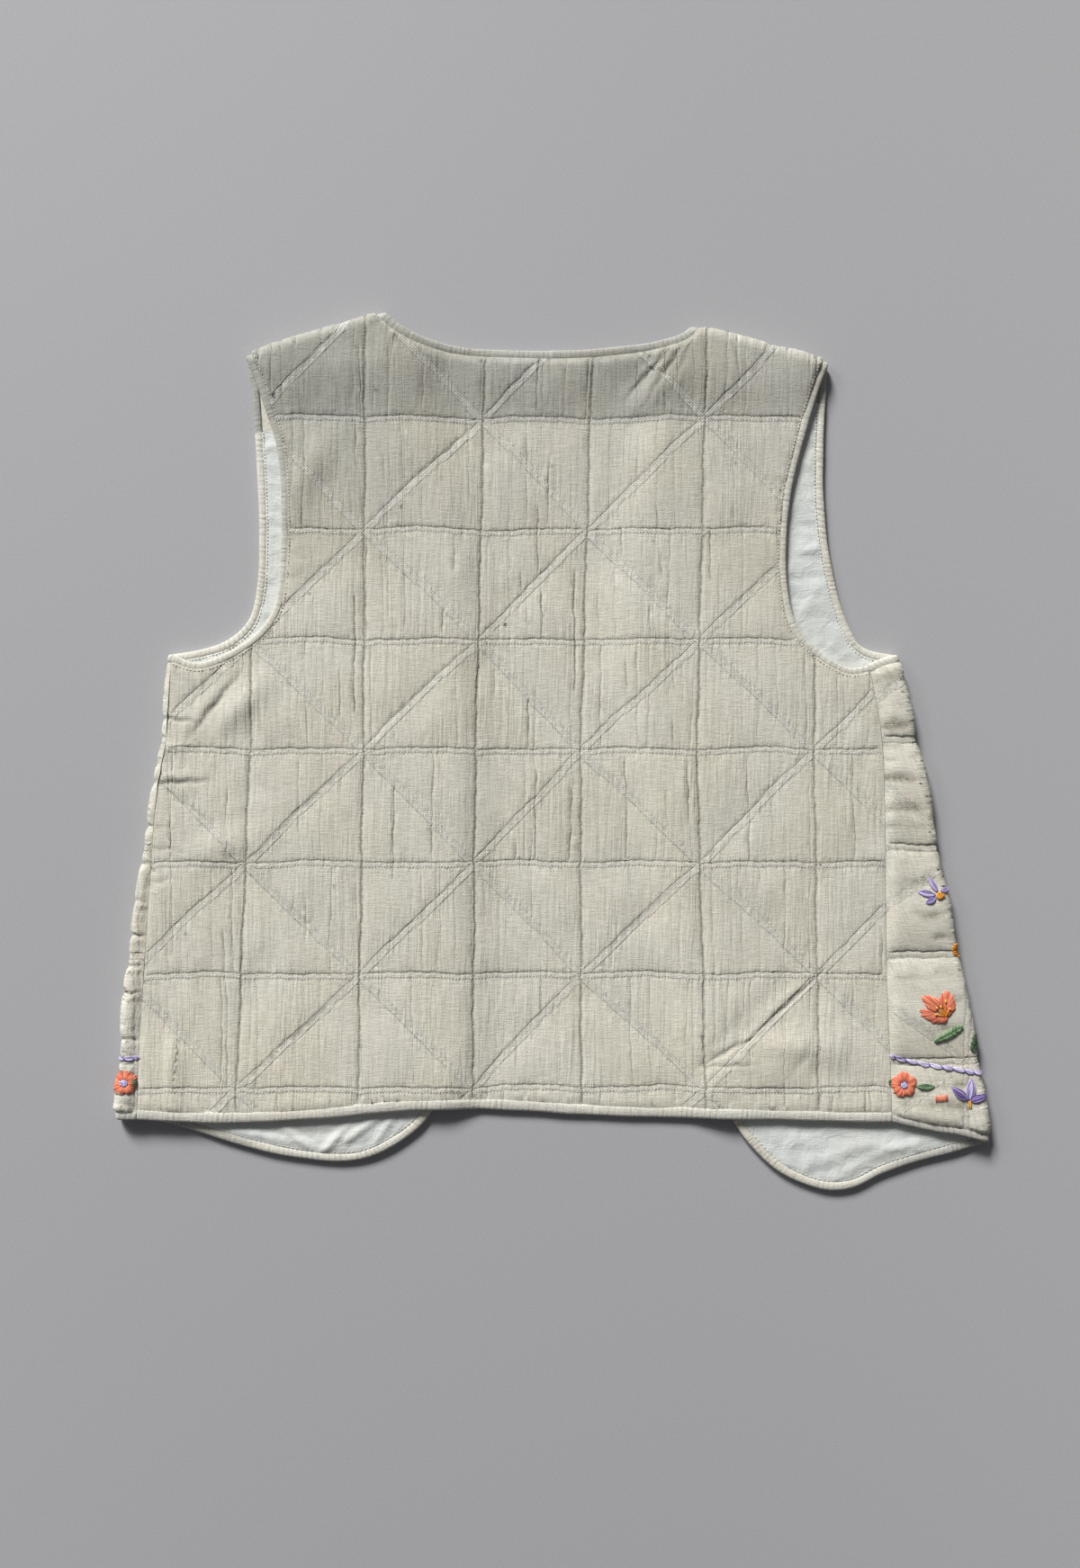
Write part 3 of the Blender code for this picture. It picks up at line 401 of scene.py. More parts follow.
def shoulder_frame(half):
    """(a point where the shoulder's curl starts, the direction out over the fold), seen from above."""
    neck, tip = (Vector((half.sign * p.x, p.y)) for p in SHOULDERS[half][:2])
    run = (tip - neck).normalized()
    out = Vector((-run.y, run.x)) * half.sign
    return neck - out * FOLD_EDGE, out


SHOULDER_FRAMES = {half: shoulder_frame(half) for half in HALVES}


def over_shoulder(flat):
    """(how far each point of the back's pattern is past the start of the shoulder's curl, the way out)."""
    past = np.empty(len(flat))
    out = np.empty((len(flat), 2))
    for half in HALVES:
        here = (flat[:, 0] < 0) == (half is LEFT)
        start, way = SHOULDER_FRAMES[half]
        past[here] = (flat[here] - np.array(start)) @ np.array(way)
        out[here] = way
    return past, out


def shoulder_past(flat):
    return over_shoulder(flat)[0]


def unfold_shoulder(half, point):
    """The place in the back's pattern of a point (out, y) that lies under the shoulder's fold."""
    start, out = SHOULDER_FRAMES[half]
    place = Vector((half.sign * point.x, point.y))
    depth = (start - place).dot(out)
    return place + out * (2 * depth + CURL)


def unfold_side(half, point):
    """The place in a front's pattern of a point (out, y) that lies on top, past the side fold."""
    fold = fold_out(half, point.y)
    inside = fold - point.x
    if inside < FOLD_EDGE:
        turn = math.acos(min(1.0, (FOLD_EDGE - inside) / FOLD_RADIUS))
        past = FOLD_RADIUS * (math.pi / 2 + turn)
    else:
        past = CURL + inside - FOLD_EDGE
    return Vector((half.sign * (fold - FOLD_EDGE + past), point.y))


def upright_edge(half):
    """A front's edge from the low point of its rounded corner up to the shoulder."""
    line = curve(FRONT_EDGE[half])
    low = min(range(len(line)), key=lambda k: line[k].y)
    return np.array([p[:] for p in line[low:]])


UPRIGHT_EDGES = [upright_edge(half) for half in HALVES]


def crease_height(creases, x, y):
    height = np.zeros_like(x)
    for crease in creases:
        cos, sin = direction(math.radians(crease.angle))
        dx, dy = x - crease.x, y - crease.y
        run = (dx * cos + dy * sin) / crease.length
        across = (dy * cos - dx * sin) / crease.width
        height += crease.height * np.exp(-4 * run * run - across * across)
    return height


def lying_height(x, y):
    """How high the inner face of the upper layer lies above the surface."""
    from_side = side_line("fold", x, np.minimum(y, SIDES[LEFT][-1].y)) - np.abs(x) - FOLD_EDGE
    past = shoulder_past(np.column_stack((x, y)))
    raised = np.maximum(1 - smoothstep(from_side / FOLD_REACH), 1 - smoothstep(-past / FOLD_REACH))
    left, right = (np.interp(y, edge[:, 1], edge[:, 0]) for edge in UPRIGHT_EDGES)
    inside = np.minimum(x + left, right - x)
    change = crease_height(CREASES, x, y) + LYING - LYING_LEAST
    height = LYING_LEAST + (change + np.hypot(change, TROUGH_EASE)) / 2 - SAG * smoothstep(inside / SAG_RAMP)
    height = np.maximum(GAP, height + crease_height(FINE_CREASES, x, y) * FINE_SHARE)
    return height + (2 * FOLD_RADIUS - height) * raised


def lay_back(flat):
    """Where the middle of the back's wall lies, for points of its pattern."""
    past, out = over_shoulder(flat)
    turn = np.clip(past, 0, CURL) / FOLD_RADIUS
    slide = np.where(past > 0, FOLD_RADIUS * np.sin(turn) - past - np.maximum(0, past - CURL), 0.0)
    place = flat + out * slide[:, None]
    x, y = flat.T
    height = lying_height(x, y) + WALL / 2
    inside = side_line("fold", x, y) - np.abs(x)
    across = np.clip(FOLD_EDGE - inside, 0, FOLD_RADIUS)
    height = np.where(inside < FOLD_EDGE, FOLD_EDGE + np.sqrt(FOLD_RADIUS**2 - across**2), height)
    height = np.where(past > 0, FOLD_EDGE + FOLD_RADIUS * np.cos(turn), height)
    return np.column_stack((place, height))


def past_fold(flat):
    """How far points of a front's pattern are past the start of the side fold's curl."""
    x, y = flat.T
    return np.abs(x) - side_line("fold", x, y) + FOLD_EDGE


FRONT_TOP = SIDES[LEFT][-1].y + 10  # above here a front lies flat


def lay_front(flat):
    """Where the middle of a front's wall lies, for points of its pattern."""
    x, y = flat.T
    sign = np.where(x < 0, -1.0, 1.0)
    past = past_fold(flat)
    past = np.where(y > FRONT_TOP, np.minimum(past, 0), past)
    turn = np.clip(past, 0, CURL) / FOLD_RADIUS
    place = side_line("fold", x, y) - FOLD_EDGE + FOLD_RADIUS * np.sin(turn) - np.maximum(0, past - CURL)
    place = np.where(past > 0, place, np.abs(x))
    height = FOLD_EDGE - FOLD_RADIUS * np.cos(turn)
    on_top = lying_height(sign * place, y) - 2 * FOLD_RADIUS
    height = np.where(past > CURL, height + on_top, height)
    return np.column_stack((sign * place, y, height))


def normal_of(lay, flat, reach=0.05):
    """The wall's direction at points of the pattern: up, where the pattern lies flat."""
    across = lay(flat + (reach, 0)) - lay(flat - (reach, 0))
    return units(np.cross(across, lay(flat + (0, reach)) - lay(flat - (0, reach))))


# ---------------------------------------------------------------------------------------------------------
# Outlines of the pattern pieces, counterclockwise seen from above.


def moved_in(line, inset):
    moved = []
    for i, point in enumerate(line):
        run = (line[min(i + 1, len(line) - 1)] - line[max(i - 1, 0)]).normalized()
        moved.append(point + Vector((-run.y, run.x)) * inset)
    first = (moved[0] - moved[1]).normalized() * EDGE_RUN_ON
    last = (moved[-1] - moved[-2]).normalized() * EDGE_RUN_ON
    return [moved[0] + first, *moved, moved[-1] + last]


def crossing_of(line, other):
    """(index in line, index in other, point) where the end of one line crosses the start of the other."""
    for i in range(len(line) - 2, -1, -1):
        for j in range(len(other) - 1):
            point = intersect_line_line_2d(line[i], line[i + 1], other[j], other[j + 1])
            if point:
                return i, j, point
    raise ValueError("two edges of a pattern piece don't meet")


def inset_edges(edges):
    """edges: (line, inset) all round a piece. The same lines moved in, and cut off where they meet."""
    moved = [moved_in(line, inset) for line, inset in edges]
    meets = [crossing_of(line, other) for line, other in zip(moved, moved[1:] + moved[:1])]
    cut = []
    for k, line in enumerate(moved):
        _, start, first = meets[k - 1]
        stop, _, last = meets[k]
        cut.append([first, *line[start + 1 : stop + 1], last])
    return cut


def spaced(line, step):
    """Points evenly spaced along a line, about step apart, with both its ends."""
    places = np.array([p[:] for p in line])
    walked = walked_along(places)
    count = max(2, round(walked[-1] / step) + 1)
    return interpolated(np.linspace(0, walked[-1], count), walked, places)


def mirrored(half, points):
    return [Vector((half.sign * p.x, p.y)) for p in points]


def shoulder_seam(half, past):
    """The shoulder's seam, run on at both ends, by how far it is past the start of the curl."""
    start, out = SHOULDER_FRAMES[half]
    run = Vector((out.y, -out.x)) * half.sign
    return [start + out * past + run * far for far in (-SEAM_RUN_ON, SEAM_RUN_ON + SHOULDER_LENGTH)]


def back_edges():
    edges = {"hem": curve(BACK_HEM)}
    for half in HALVES:
        tab = [unfold_shoulder(half, p) for p in TAB_ARMHOLE[half]]
        edges["armhole_" + half.name] = curve([*mirrored(half, BACK_ARMHOLE[half]), *tab])
        edges["shoulder_" + half.name] = shoulder_seam(half, SHOULDERS[half].wrap - FOLD_EDGE + CURL)[::-1]
        ys = np.linspace(BACK_HEM[0].y, BACK_ARMHOLE[half][0].y, 31)
        edges["side_" + half.name] = mirrored(half, [Point(along(SIDES[half], y, "seam"), y) for y in ys])
    right, left = ([unfold_shoulder(half, p) for p in TAB_NECK[half]] for half in (RIGHT, LEFT))
    edges["neck"] = curve([*right[::-1], *BACK_NECK, *left])
    return edges


def back_outline(edges, share, overlap=0.0):
    """The back's edges moved in, where bound by a share of the roll's width less an overlap."""
    inset = {name: share * width - overlap for name, width in BACK_ROLLS.items()}
    order = []
    for name in BACK_ROUND:
        line = edges[name][::-1] if name.endswith("left") else edges[name]
        order.append((line, inset.get(name.split("_")[0], GAP / 2)))
    return dict(zip(BACK_ROUND, inset_edges(order)))


def front_edges(half):
    strip = [unfold_side(half, p) for p in STRIP_HEM[half]]
    under = [unfold_side(half, p) for p in UNDERARM[half]]
    ys = np.linspace(UNDERARM[half][-1].y, STRIP_HEM[half][0].y, 241)
    return {
        "edge": curve([*strip, *mirrored(half, FRONT_EDGE[half])]),
        "shoulder": shoulder_seam(half, FOLD_EDGE - SHOULDERS[half].wrap),
        "armhole": curve([*mirrored(half, FRONT_ARMHOLE[half]), *under]),
        "side": [unfold_side(half, Point(along(SIDES[half], y, "seam"), y)) for y in ys],
    }


def around_front(half, edges, insets):
    """The four edges of a front, or of its lining, moved in, in the order that runs counterclockwise."""
    order = [(edges[name], insets.get(name, GAP / 2)) for name in FRONT_ROUND]
    names = FRONT_ROUND
    if half is RIGHT:
        names = names[::-1]
        order = [(line[::-1], inset) for line, inset in order[::-1]]
    return dict(zip(names, inset_edges(order)))


def front_outline(half, edges, share, overlap=0.0):
    inset = {name: share * width - overlap for name, width in FRONT_ROLLS.items()}
    return around_front(half, edges, inset)


def lining_outline(half, edges):
    ys = np.linspace(SIDES[half][-1].y + SEAM_RUN_ON, SIDES[half][0].y - SEAM_RUN_ON, 61)
    side = [Point(along(SIDES[half], y, "fold") - FOLD_EDGE - LINING_SHORT, y) for y in ys]
    inset = {name: width - OVERLAP + GAP for name, width in FRONT_ROLLS.items()}
    return around_front(half, edges | {"side": mirrored(half, side)}, inset | {"shoulder": 1.0, "side": 0.0})


# ---------------------------------------------------------------------------------------------------------
# Quilting. The stitched lines waver a little: a pattern point is first moved to where it would be on a
# straight grid.


def waver(across, along_it, phase):
    """How far the straight grid is from the real line: soft bends, about WAVER at most."""
    total = np.zeros_like(along_it)
    for k, wave in enumerate(WAVES):
        drift = across * 0.013 * (k + 1)
        total += np.sin(along_it * wave.rate * 2.1 + wave.phase + phase + drift) / (1.4 + k)
    ripple = np.sin(0.74 * along_it + 2.1 * np.sin(0.13 * along_it) + across * 0.05)
    return total * WAVER * 0.6 + RIPPLE * ripple


def to_grid(flat):
    x, y = flat.T
    bow = np.abs(np.sin(math.pi * (x - ARC_START) / ARC_SPAN)) * (0.75 + 0.4 * np.sin(0.05 * x + 0.043 * y))
    return np.column_stack((x + waver(x, y, 0.0), y + waver(y, x, 1.7) - ARC_RISE * bow))


def from_grid(grid):
    flat = grid.copy()
    for _ in range(3):
        flat = grid - (to_grid(flat) - flat)
    return flat


def opened(flat):
    """A front's pattern place, opened out beyond the side fold to carry the strip on, and the reverse."""
    x, y = flat.T
    out = 2 * side_line("fold", x, y) - 2 * FOLD_EDGE + CURL - np.abs(x)
    return np.column_stack((np.where(x < 0, -out, out), y))


def to_strip(flat):
    return to_grid(opened(flat))


def from_strip(grid):
    return opened(from_grid(grid))


def column_at(crossing, y):
    lower = crossing.hem + (crossing.chest - crossing.hem) * (y - HEM_Y) / (CHEST_Y - HEM_Y)
    upper = crossing.chest + (crossing.shoulder - crossing.chest) * (y - CHEST_Y) / (SHOULDER_Y - CHEST_Y)
    return np.where(y < CHEST_Y, lower, upper)


Cell = namedtuple("Cell", "row column across up width height rising")


class Quilting:
    """A grid of stitched rows and columns, with a diagonal through each square."""

    def __init__(self, rows, columns, halves, depths, crown):
        self.rows = np.array(rows)
        self.columns = columns
        self.row_half, self.column_half, self.diagonal_half = halves
        self.depths = depths
        self.crown = crown

    def cell(self, grid):
        """The square that each point is in, with the point's shares across it and up it."""
        x, y = grid.T
        row = np.clip(np.searchsorted(self.rows, y) - 1, 0, len(self.rows) - 2)
        places = np.array([column_at(c, y) for c in self.columns])
        column = np.clip((places < x).sum(axis=0) - 1, 0, len(self.columns) - 2)
        pick = np.arange(len(x))
        left, right = places[column, pick], places[column + 1, pick]
        low, high = self.rows[row], self.rows[row + 1]
        across, up = (x - left) / (right - left), (y - low) / (high - low)
        return Cell(row, column, across, up, right - left, high - low, (row + column) % 2 == 0)

    def bands(self, grid):
        """(distance to the nearest row, column and diagonal band's edge, below 0 inside a band)."""
        _, _, u, v, width, height, rising = self.cell(grid)
        to_row = np.minimum(np.abs(v), np.abs(1 - v)) * height - self.row_half
        to_column = np.minimum(np.abs(u), np.abs(1 - u)) * width - self.column_half
        slope = np.where(rising, v - u, u + v - 1)
        to_diagonal = np.abs(slope) * (width + height) / 2 / math.sqrt(2) - self.diagonal_half
        return to_row, to_column, to_diagonal

    def patch(self, grid):
        """(a number for each of the two patches in a square, shares across and up)."""
        row, column, u, v, _, _, rising = self.cell(grid)
        upper = np.where(rising, v > u, u + v > 1)
        return row * 31.0 + column * 7.0 + upper * 3.0, u, v

    def tilt(self, grid):
        number, u, v = self.patch(grid)
        return np.sin(number * 1.9) * (u - 0.5) * 2 + np.sin(number * 2.7 + 1) * (v - 0.5) * 2

    def grooves(self, grid):
        """The deepest of the grooves that are near, as a share."""
        _, _, u, v, _, _, rising = self.cell(grid)
        rows, columns, diagonals = (np.exp(-((band / GROOVE_HALF) ** 2)) for band in self.bands(grid))
        above, below, column_depth, upper, lower, falling = self.depths
        depth = np.maximum(np.where(v < 0.5, above, below) * rows, column_depth * columns)
        side = np.where(rising, np.where(v > u, upper, lower), falling)
        return np.maximum(depth, side * diagonals)

    def height(self, grid):
        """How far the outer face stands out."""
        to_row, to_column, to_diagonal = self.bands(grid)
        crown = np.ones(len(grid))
        for distance in (to_row, to_column, to_diagonal):
            crown *= 1 - np.exp(-np.maximum(distance, 0) / CROWN_REACH)
        sloping = np.exp(-np.maximum(np.minimum(to_row, to_diagonal), 0) / SLOPE_REACH)
        sloping = np.maximum(sloping, 0.45 * np.exp(-np.maximum(to_column, 0)))
        puff = PUFF - GROOVE_DEPTH * self.grooves(grid) - SLOPE_DEPTH * sloping
        return puff + (self.crown + PUFF_TILT * self.tilt(grid)) * crown

    def lines(self, low, high):
        """Straight lines (start, stop, half width) of all the bands that cross a box of the grid."""
        found = [((low[0], y), (high[0], y), self.row_half) for y in self.rows]
        for i, column in enumerate(self.columns):
            for row, (y0, y1) in enumerate(zip(self.rows, self.rows[1:])):
                here = [float(column_at(column, y)) for y in (y0, y1)]
                found.append(((here[0], y0), (here[1], y1), self.column_half))
                if i + 1 < len(self.columns):
                    following = [float(column_at(self.columns[i + 1], y)) for y in (y0, y1)]
                    rising = (row + i) % 2 == 0
                    x0, x1 = (here[0], following[1]) if rising else (following[0], here[1])
                    found.append(((x0, y0), (x1, y1), self.diagonal_half))
        return found


def make_crinkles(quilting, low, high):
    """The crinkles that run down between rows: the ones listed, and more like them."""
    draw = random.Random(1)
    crinkles = list(CRINKLES)
    for y0, y1 in zip(quilting.rows, quilting.rows[1:]):
        x = low[0] + draw.uniform(4, 12)
        while x < high[0]:
            top = y1 if draw.random() < 0.75 else draw.uniform(y0 + 34, y1)
            bottom = y0 if draw.random() < 0.75 else draw.uniform(y0, top - 24)
            depth = draw.choice((0.07, 0.1, 0.13, 0.17, 0.23, 0.32, 0.48))
            if all(abs(x - c.x) > 4 or bottom > c.top or top < c.bottom for c in crinkles):
                crinkles.append(Crinkle(x, top, bottom, depth, draw.uniform(0.24, 0.38)))
            x += draw.uniform(5, 16)
    for _ in range(LONG_CRINKLES):
        x, top = draw.uniform(low[0] + 10, high[0] - 10), draw.uniform(low[1] + 60, high[1])
        crinkles.append(Crinkle(x, top, top - draw.uniform(70, 190), draw.uniform(0.12, 0.36), 0.28))
    return crinkles


def make_wrinkles(half, low, high):
    """The wrinkles across a front's strip, where it is gathered: like crinkles, with x and y swapped."""
    draw = random.Random(7)
    wrinkles = []

    def add(y, outer, length, depth, width):
        ends = sorted((half.sign * outer, half.sign * (outer - length)))
        wrinkles.append(Crinkle(y, ends[1], ends[0], depth, width))

    y = low + 3
    while y < high:
        fold = along(SIDES[half], y, "fold")
        depth = draw.choice((0.3, 0.4, 0.5, 0.7))
        add(y, fold + draw.uniform(2, 8), draw.choice((14, 18, 24, 34, 50)), depth, draw.uniform(1.8, 3.4))
        y += draw.uniform(9, 24)
        if draw.random() < 0.6:
            add(y - 3, fold - draw.uniform(8, 24), draw.uniform(14, 30), 0.25, draw.uniform(1.2, 2.6))
    return wrinkles


def crinkle_x(crinkle, y):
    """A crinkle's own wavy line."""
    lean = math.sin(crinkle.x * 1.7) * 0.025
    wave = np.sin(y * 0.09 + crinkle.x) * 0.3 + np.sin(y * 0.27 + crinkle.x * 2.3) * 0.14
    return crinkle.x + lean * (y - crinkle.bottom) + wave


def crinkle_depth(crinkles, grid):
    """How deep crinkles are, below 0 on the lip that each has on its right."""
    depth = np.zeros(len(grid))
    x, y = grid.T
    for crinkle in crinkles:
        near = (np.abs(x - crinkle.x) < CRINKLE_REACH) & (y < crinkle.top) & (y > crinkle.bottom)
        if not near.any():
            continue
        across = (x[near] - crinkle_x(crinkle, y[near])) / crinkle.half
        ends = smoothstep((crinkle.top - y[near]) / 4) * smoothstep((y[near] - crinkle.bottom) / 5)
        ends *= 0.75 + 0.25 * np.sin(y[near] * 0.17 + crinkle.x * 3.1)
        trough = np.exp(-(across**2)) - 0.35 * np.exp(-(((across - 2.9) / 1.8) ** 2))
        depth[near] += crinkle.depth * trough * ends
    return depth


# ---------------------------------------------------------------------------------------------------------
# Meshes.


def inside_outline(points, outline):
    inside = np.zeros(len(points), bool)
    x, y = points.T
    for (x0, y0), (x1, y1) in zip(outline, np.roll(outline, -1, axis=0)):
        if y0 != y1:
            inside ^= ((y0 > y) != (y1 > y)) & (x < x0 + (x1 - x0) * (y - y0) / (y1 - y0))
    return inside


def tree_of(points):
    tree = KDTree(len(points))
    for k, (x, y) in enumerate(points):
        tree.insert((x, y, 0.0), k)
    tree.balance()
    return tree


def distances(tree, points):
    return np.array([tree.find((x, y, 0.0))[2] for x, y in points])


def fill_points(outline, step, margin, tree=None, clear=0.0):
    """A lattice inside an outline, by margin, and clear of the tree's points."""
    low, high = outline.min(axis=0), outline.max(axis=0)
    points = []
    for j, y in enumerate(np.arange(low[1], high[1], step * 0.87)):
        xs = np.arange(low[0] + (j % 2) * step / 2, high[0], step)
        points.append(np.column_stack((xs, np.full(len(xs), y))))
    points = np.concatenate(points)
    points = points[inside_outline(points, outline)]
    points = points[distances(tree_of(outline), points) > margin]
    if tree is not None and len(points):
        points = points[distances(tree, points) > clear]
    return points


def clipped(lines, outline, margin):
    """Runs of the lines' points that are inside the outline, by margin."""
    points = np.concatenate(lines)
    keep = inside_outline(points, outline)
    keep[keep] = distances(tree_of(outline), points[keep]) > margin
    runs = []
    start = 0
    for line in lines:
        flags = keep[start : start + len(line)]
        start += len(line)
        for first, stop in np.flatnonzero(np.diff(np.pad(flags, 1))).reshape(-1, 2):
            if stop - first > 1:
                runs.append(line[first:stop])
    return runs


def triangulated(outline, runs, points):
    """(all points, the outline's first, and triangles) over an outline, with edges along the runs."""
    everything = [Vector(p) for p in outline]
    edges = []
    for run in runs:
        start = len(everything)
        everything += [Vector(p) for p in run]
        edges += [(k, k + 1) for k in range(start, len(everything) - 1)]
    everything += [Vector(p) for p in points]
    count = len(outline)
    made, _, faces, sources, _, _ = delaunay_2d_cdt(everything, edges, [list(range(count))], 1, 1e-5)
    first = np.array([min(source, default=count) for source in sources])
    on_rim = first < count
    if on_rim.sum() != count:
        raise ValueError("the mesh's rim was cut")
    order = np.where(on_rim, first, count + np.cumsum(~on_rim) - 1)
    placed = np.empty((len(made), 2))
    placed[order] = [p[:] for p in made]
    return placed, order[np.array(faces)]


def add_mesh(name, vertices, faces, material, attributes=None):
    """An object from arrays: vertices in millimetres, faces of any size, and values for each vertex."""
    mesh = bpy.data.meshes.new(name)
    mesh.from_pydata((np.asarray(vertices) * MM).tolist(), [], faces)
    for key, values in (attributes or {}).items():
        values = np.asarray(values, dtype=np.float32)
        kind, field = ("FLOAT_VECTOR", "vector") if values.ndim == 2 else ("FLOAT", "value")
        mesh.attributes.new(key, kind, "POINT").data.foreach_set(field, values.ravel())
    mesh.materials.append(material)
    mesh.shade_smooth()
    mesh.update()
    made = bpy.data.objects.new(name, mesh)
    bpy.context.scene.collection.objects.link(made)
    return made


def wall(name, outline, upper, lower, lay, material, offset=0.0):
    """A closed wall. upper and lower are (runs, points, height, attributes) for its two faces: height(flat)
    says how far a face is from the wall's middle, and attributes(flat) gives values for each vertex."""
    count = len(outline)
    vertices, faces, flats, values = [], [], [], []
    start = 0
    for (runs, points, height, attributes), side in ((upper, 1), (lower, -1)):
        flat, triangles = triangulated(outline, runs, points)
        vertices.append(lay(flat) + normal_of(lay, flat) * (offset + side * height(flat))[:, None])
        faces += ((triangles if side > 0 else triangles[:, ::-1]) + start).tolist()
        flats.append(np.column_stack((flat, np.zeros(len(flat)))))
        values.append(attributes(flat))
        if side > 0:
            start = len(flat)
    for k in range(count):
        following = (k + 1) % count
        faces.append([k, start + k, start + following, following])
    together = {key: np.concatenate([v[key] for v in values]) for key in values[0]}
    together["pattern"] = np.concatenate(flats)
    made = add_mesh(name, np.concatenate(vertices), faces, material, together)
    sharpen(made.data, ((0, count), (start, start + count)))
    return made


def sharpen(mesh, rims):
    """Marks the edges round a wall's two faces as sharp. rims: (first vertex, last + 1) of each."""
    ends = np.empty(len(mesh.edges) * 2, dtype=np.int32)
    mesh.edges.foreach_get("vertices", ends)
    low, high = np.sort(ends.reshape(-1, 2), axis=1).T
    sharp = np.zeros(len(low), bool)
    for first, last in rims:
        on_rim = (low >= first) & (high < last)
        sharp |= on_rim & ((high - low == 1) | (high - low == last - first - 1))
    mesh.attributes.new("sharp_edge", "BOOLEAN", "EDGE").data.foreach_set("value", sharp)


# ---------------------------------------------------------------------------------------------------------
# Materials. Each reads the pattern's own place of a point, so that the weave follows the cloth round a fold.


class Nodes:
    """A short way to build a node tree."""

    def __init__(self, name):
        self.material = bpy.data.materials.new(name)
        self.material.use_nodes = True
        self.tree = self.material.node_tree

    def fill(self, node, inputs):
        """Links or sets a node's inputs, and gives its first output."""
        for key, value in inputs.items():
            if hasattr(value, "is_output"):
                self.tree.links.new(value, node.inputs[key])
            elif value is not None:
                node.inputs[key].default_value = value
        return node.outputs[0]

    def add(self, kind, inputs, **settings):
        node = self.tree.nodes.new(kind)
        for key, value in settings.items():
            setattr(node, key, value)
        return self.fill(node, inputs)

    def attribute(self, name, output="Fac"):
        return self.add("ShaderNodeAttribute", {}, attribute_name=name).node.outputs[output]

    def math(self, operation, a, b, clamp=False):
        return self.add("ShaderNodeMath", {0: a, 1: b}, operation=operation, use_clamp=clamp)

    def blend(self, a, a_share, b, b_share):
        return self.math("ADD", self.math("MULTIPLY", a, a_share), self.math("MULTIPLY", b, b_share))

    def scaled(self, vector, scale):
        return self.add("ShaderNodeMapping", {"Vector": vector, "Scale": scale})

    def noise(self, vector, scale, detail=2.0, roughness=0.5, distortion=0.0):
        inputs = {"Vector": self.scaled(vector, scale), "Scale": 1.0}
        inputs |= {"Detail": detail, "Roughness": roughness, "Distortion": distortion}
        return self.add("ShaderNodeTexNoise", inputs)

    def ramp(self, value, *stops):
        """A colour ramp between two stops, each (place, colour)."""
        made = self.add("ShaderNodeValToRGB", {0: value})
        for element, (place, colour) in zip(made.node.color_ramp.elements, stops):
            element.position = place
            element.color = (*colour, 1.0)
        return made

    def levels(self, value, *stops):
        """A ramp between two greys, each (place, grey)."""
        return self.ramp(value, *((place, (grey,) * 3) for place, grey in stops))

    def mix(self, factor, a, b, blend="MULTIPLY"):
        colours = [(*value, 1.0) if isinstance(value, tuple) else value for value in (a, b)]
        inputs = {"Factor": factor, 6: colours[0], 7: colours[1]}
        return self.add("ShaderNodeMix", inputs, data_type="RGBA", blend_type=blend).node.outputs[2]

    def bump(self, height, distance, strength, normal=None):
        inputs = {"Strength": strength, "Distance": distance, "Height": height, "Normal": normal}
        return self.add("ShaderNodeBump", inputs)

    def finish(self, colour, normal, **values):
        """Feeds the shader. The names of other inputs are written with _ for each space."""
        inputs = {key.replace("_", " "): value for key, value in values.items()}
        self.fill(self.tree.nodes["Principled BSDF"], {"Base Color": colour, "Normal": normal} | inputs)
        return self.material


def linear(srgb):
    return tuple(((c / 255 + 0.055) / 1.055) ** 2.4 for c in srgb)


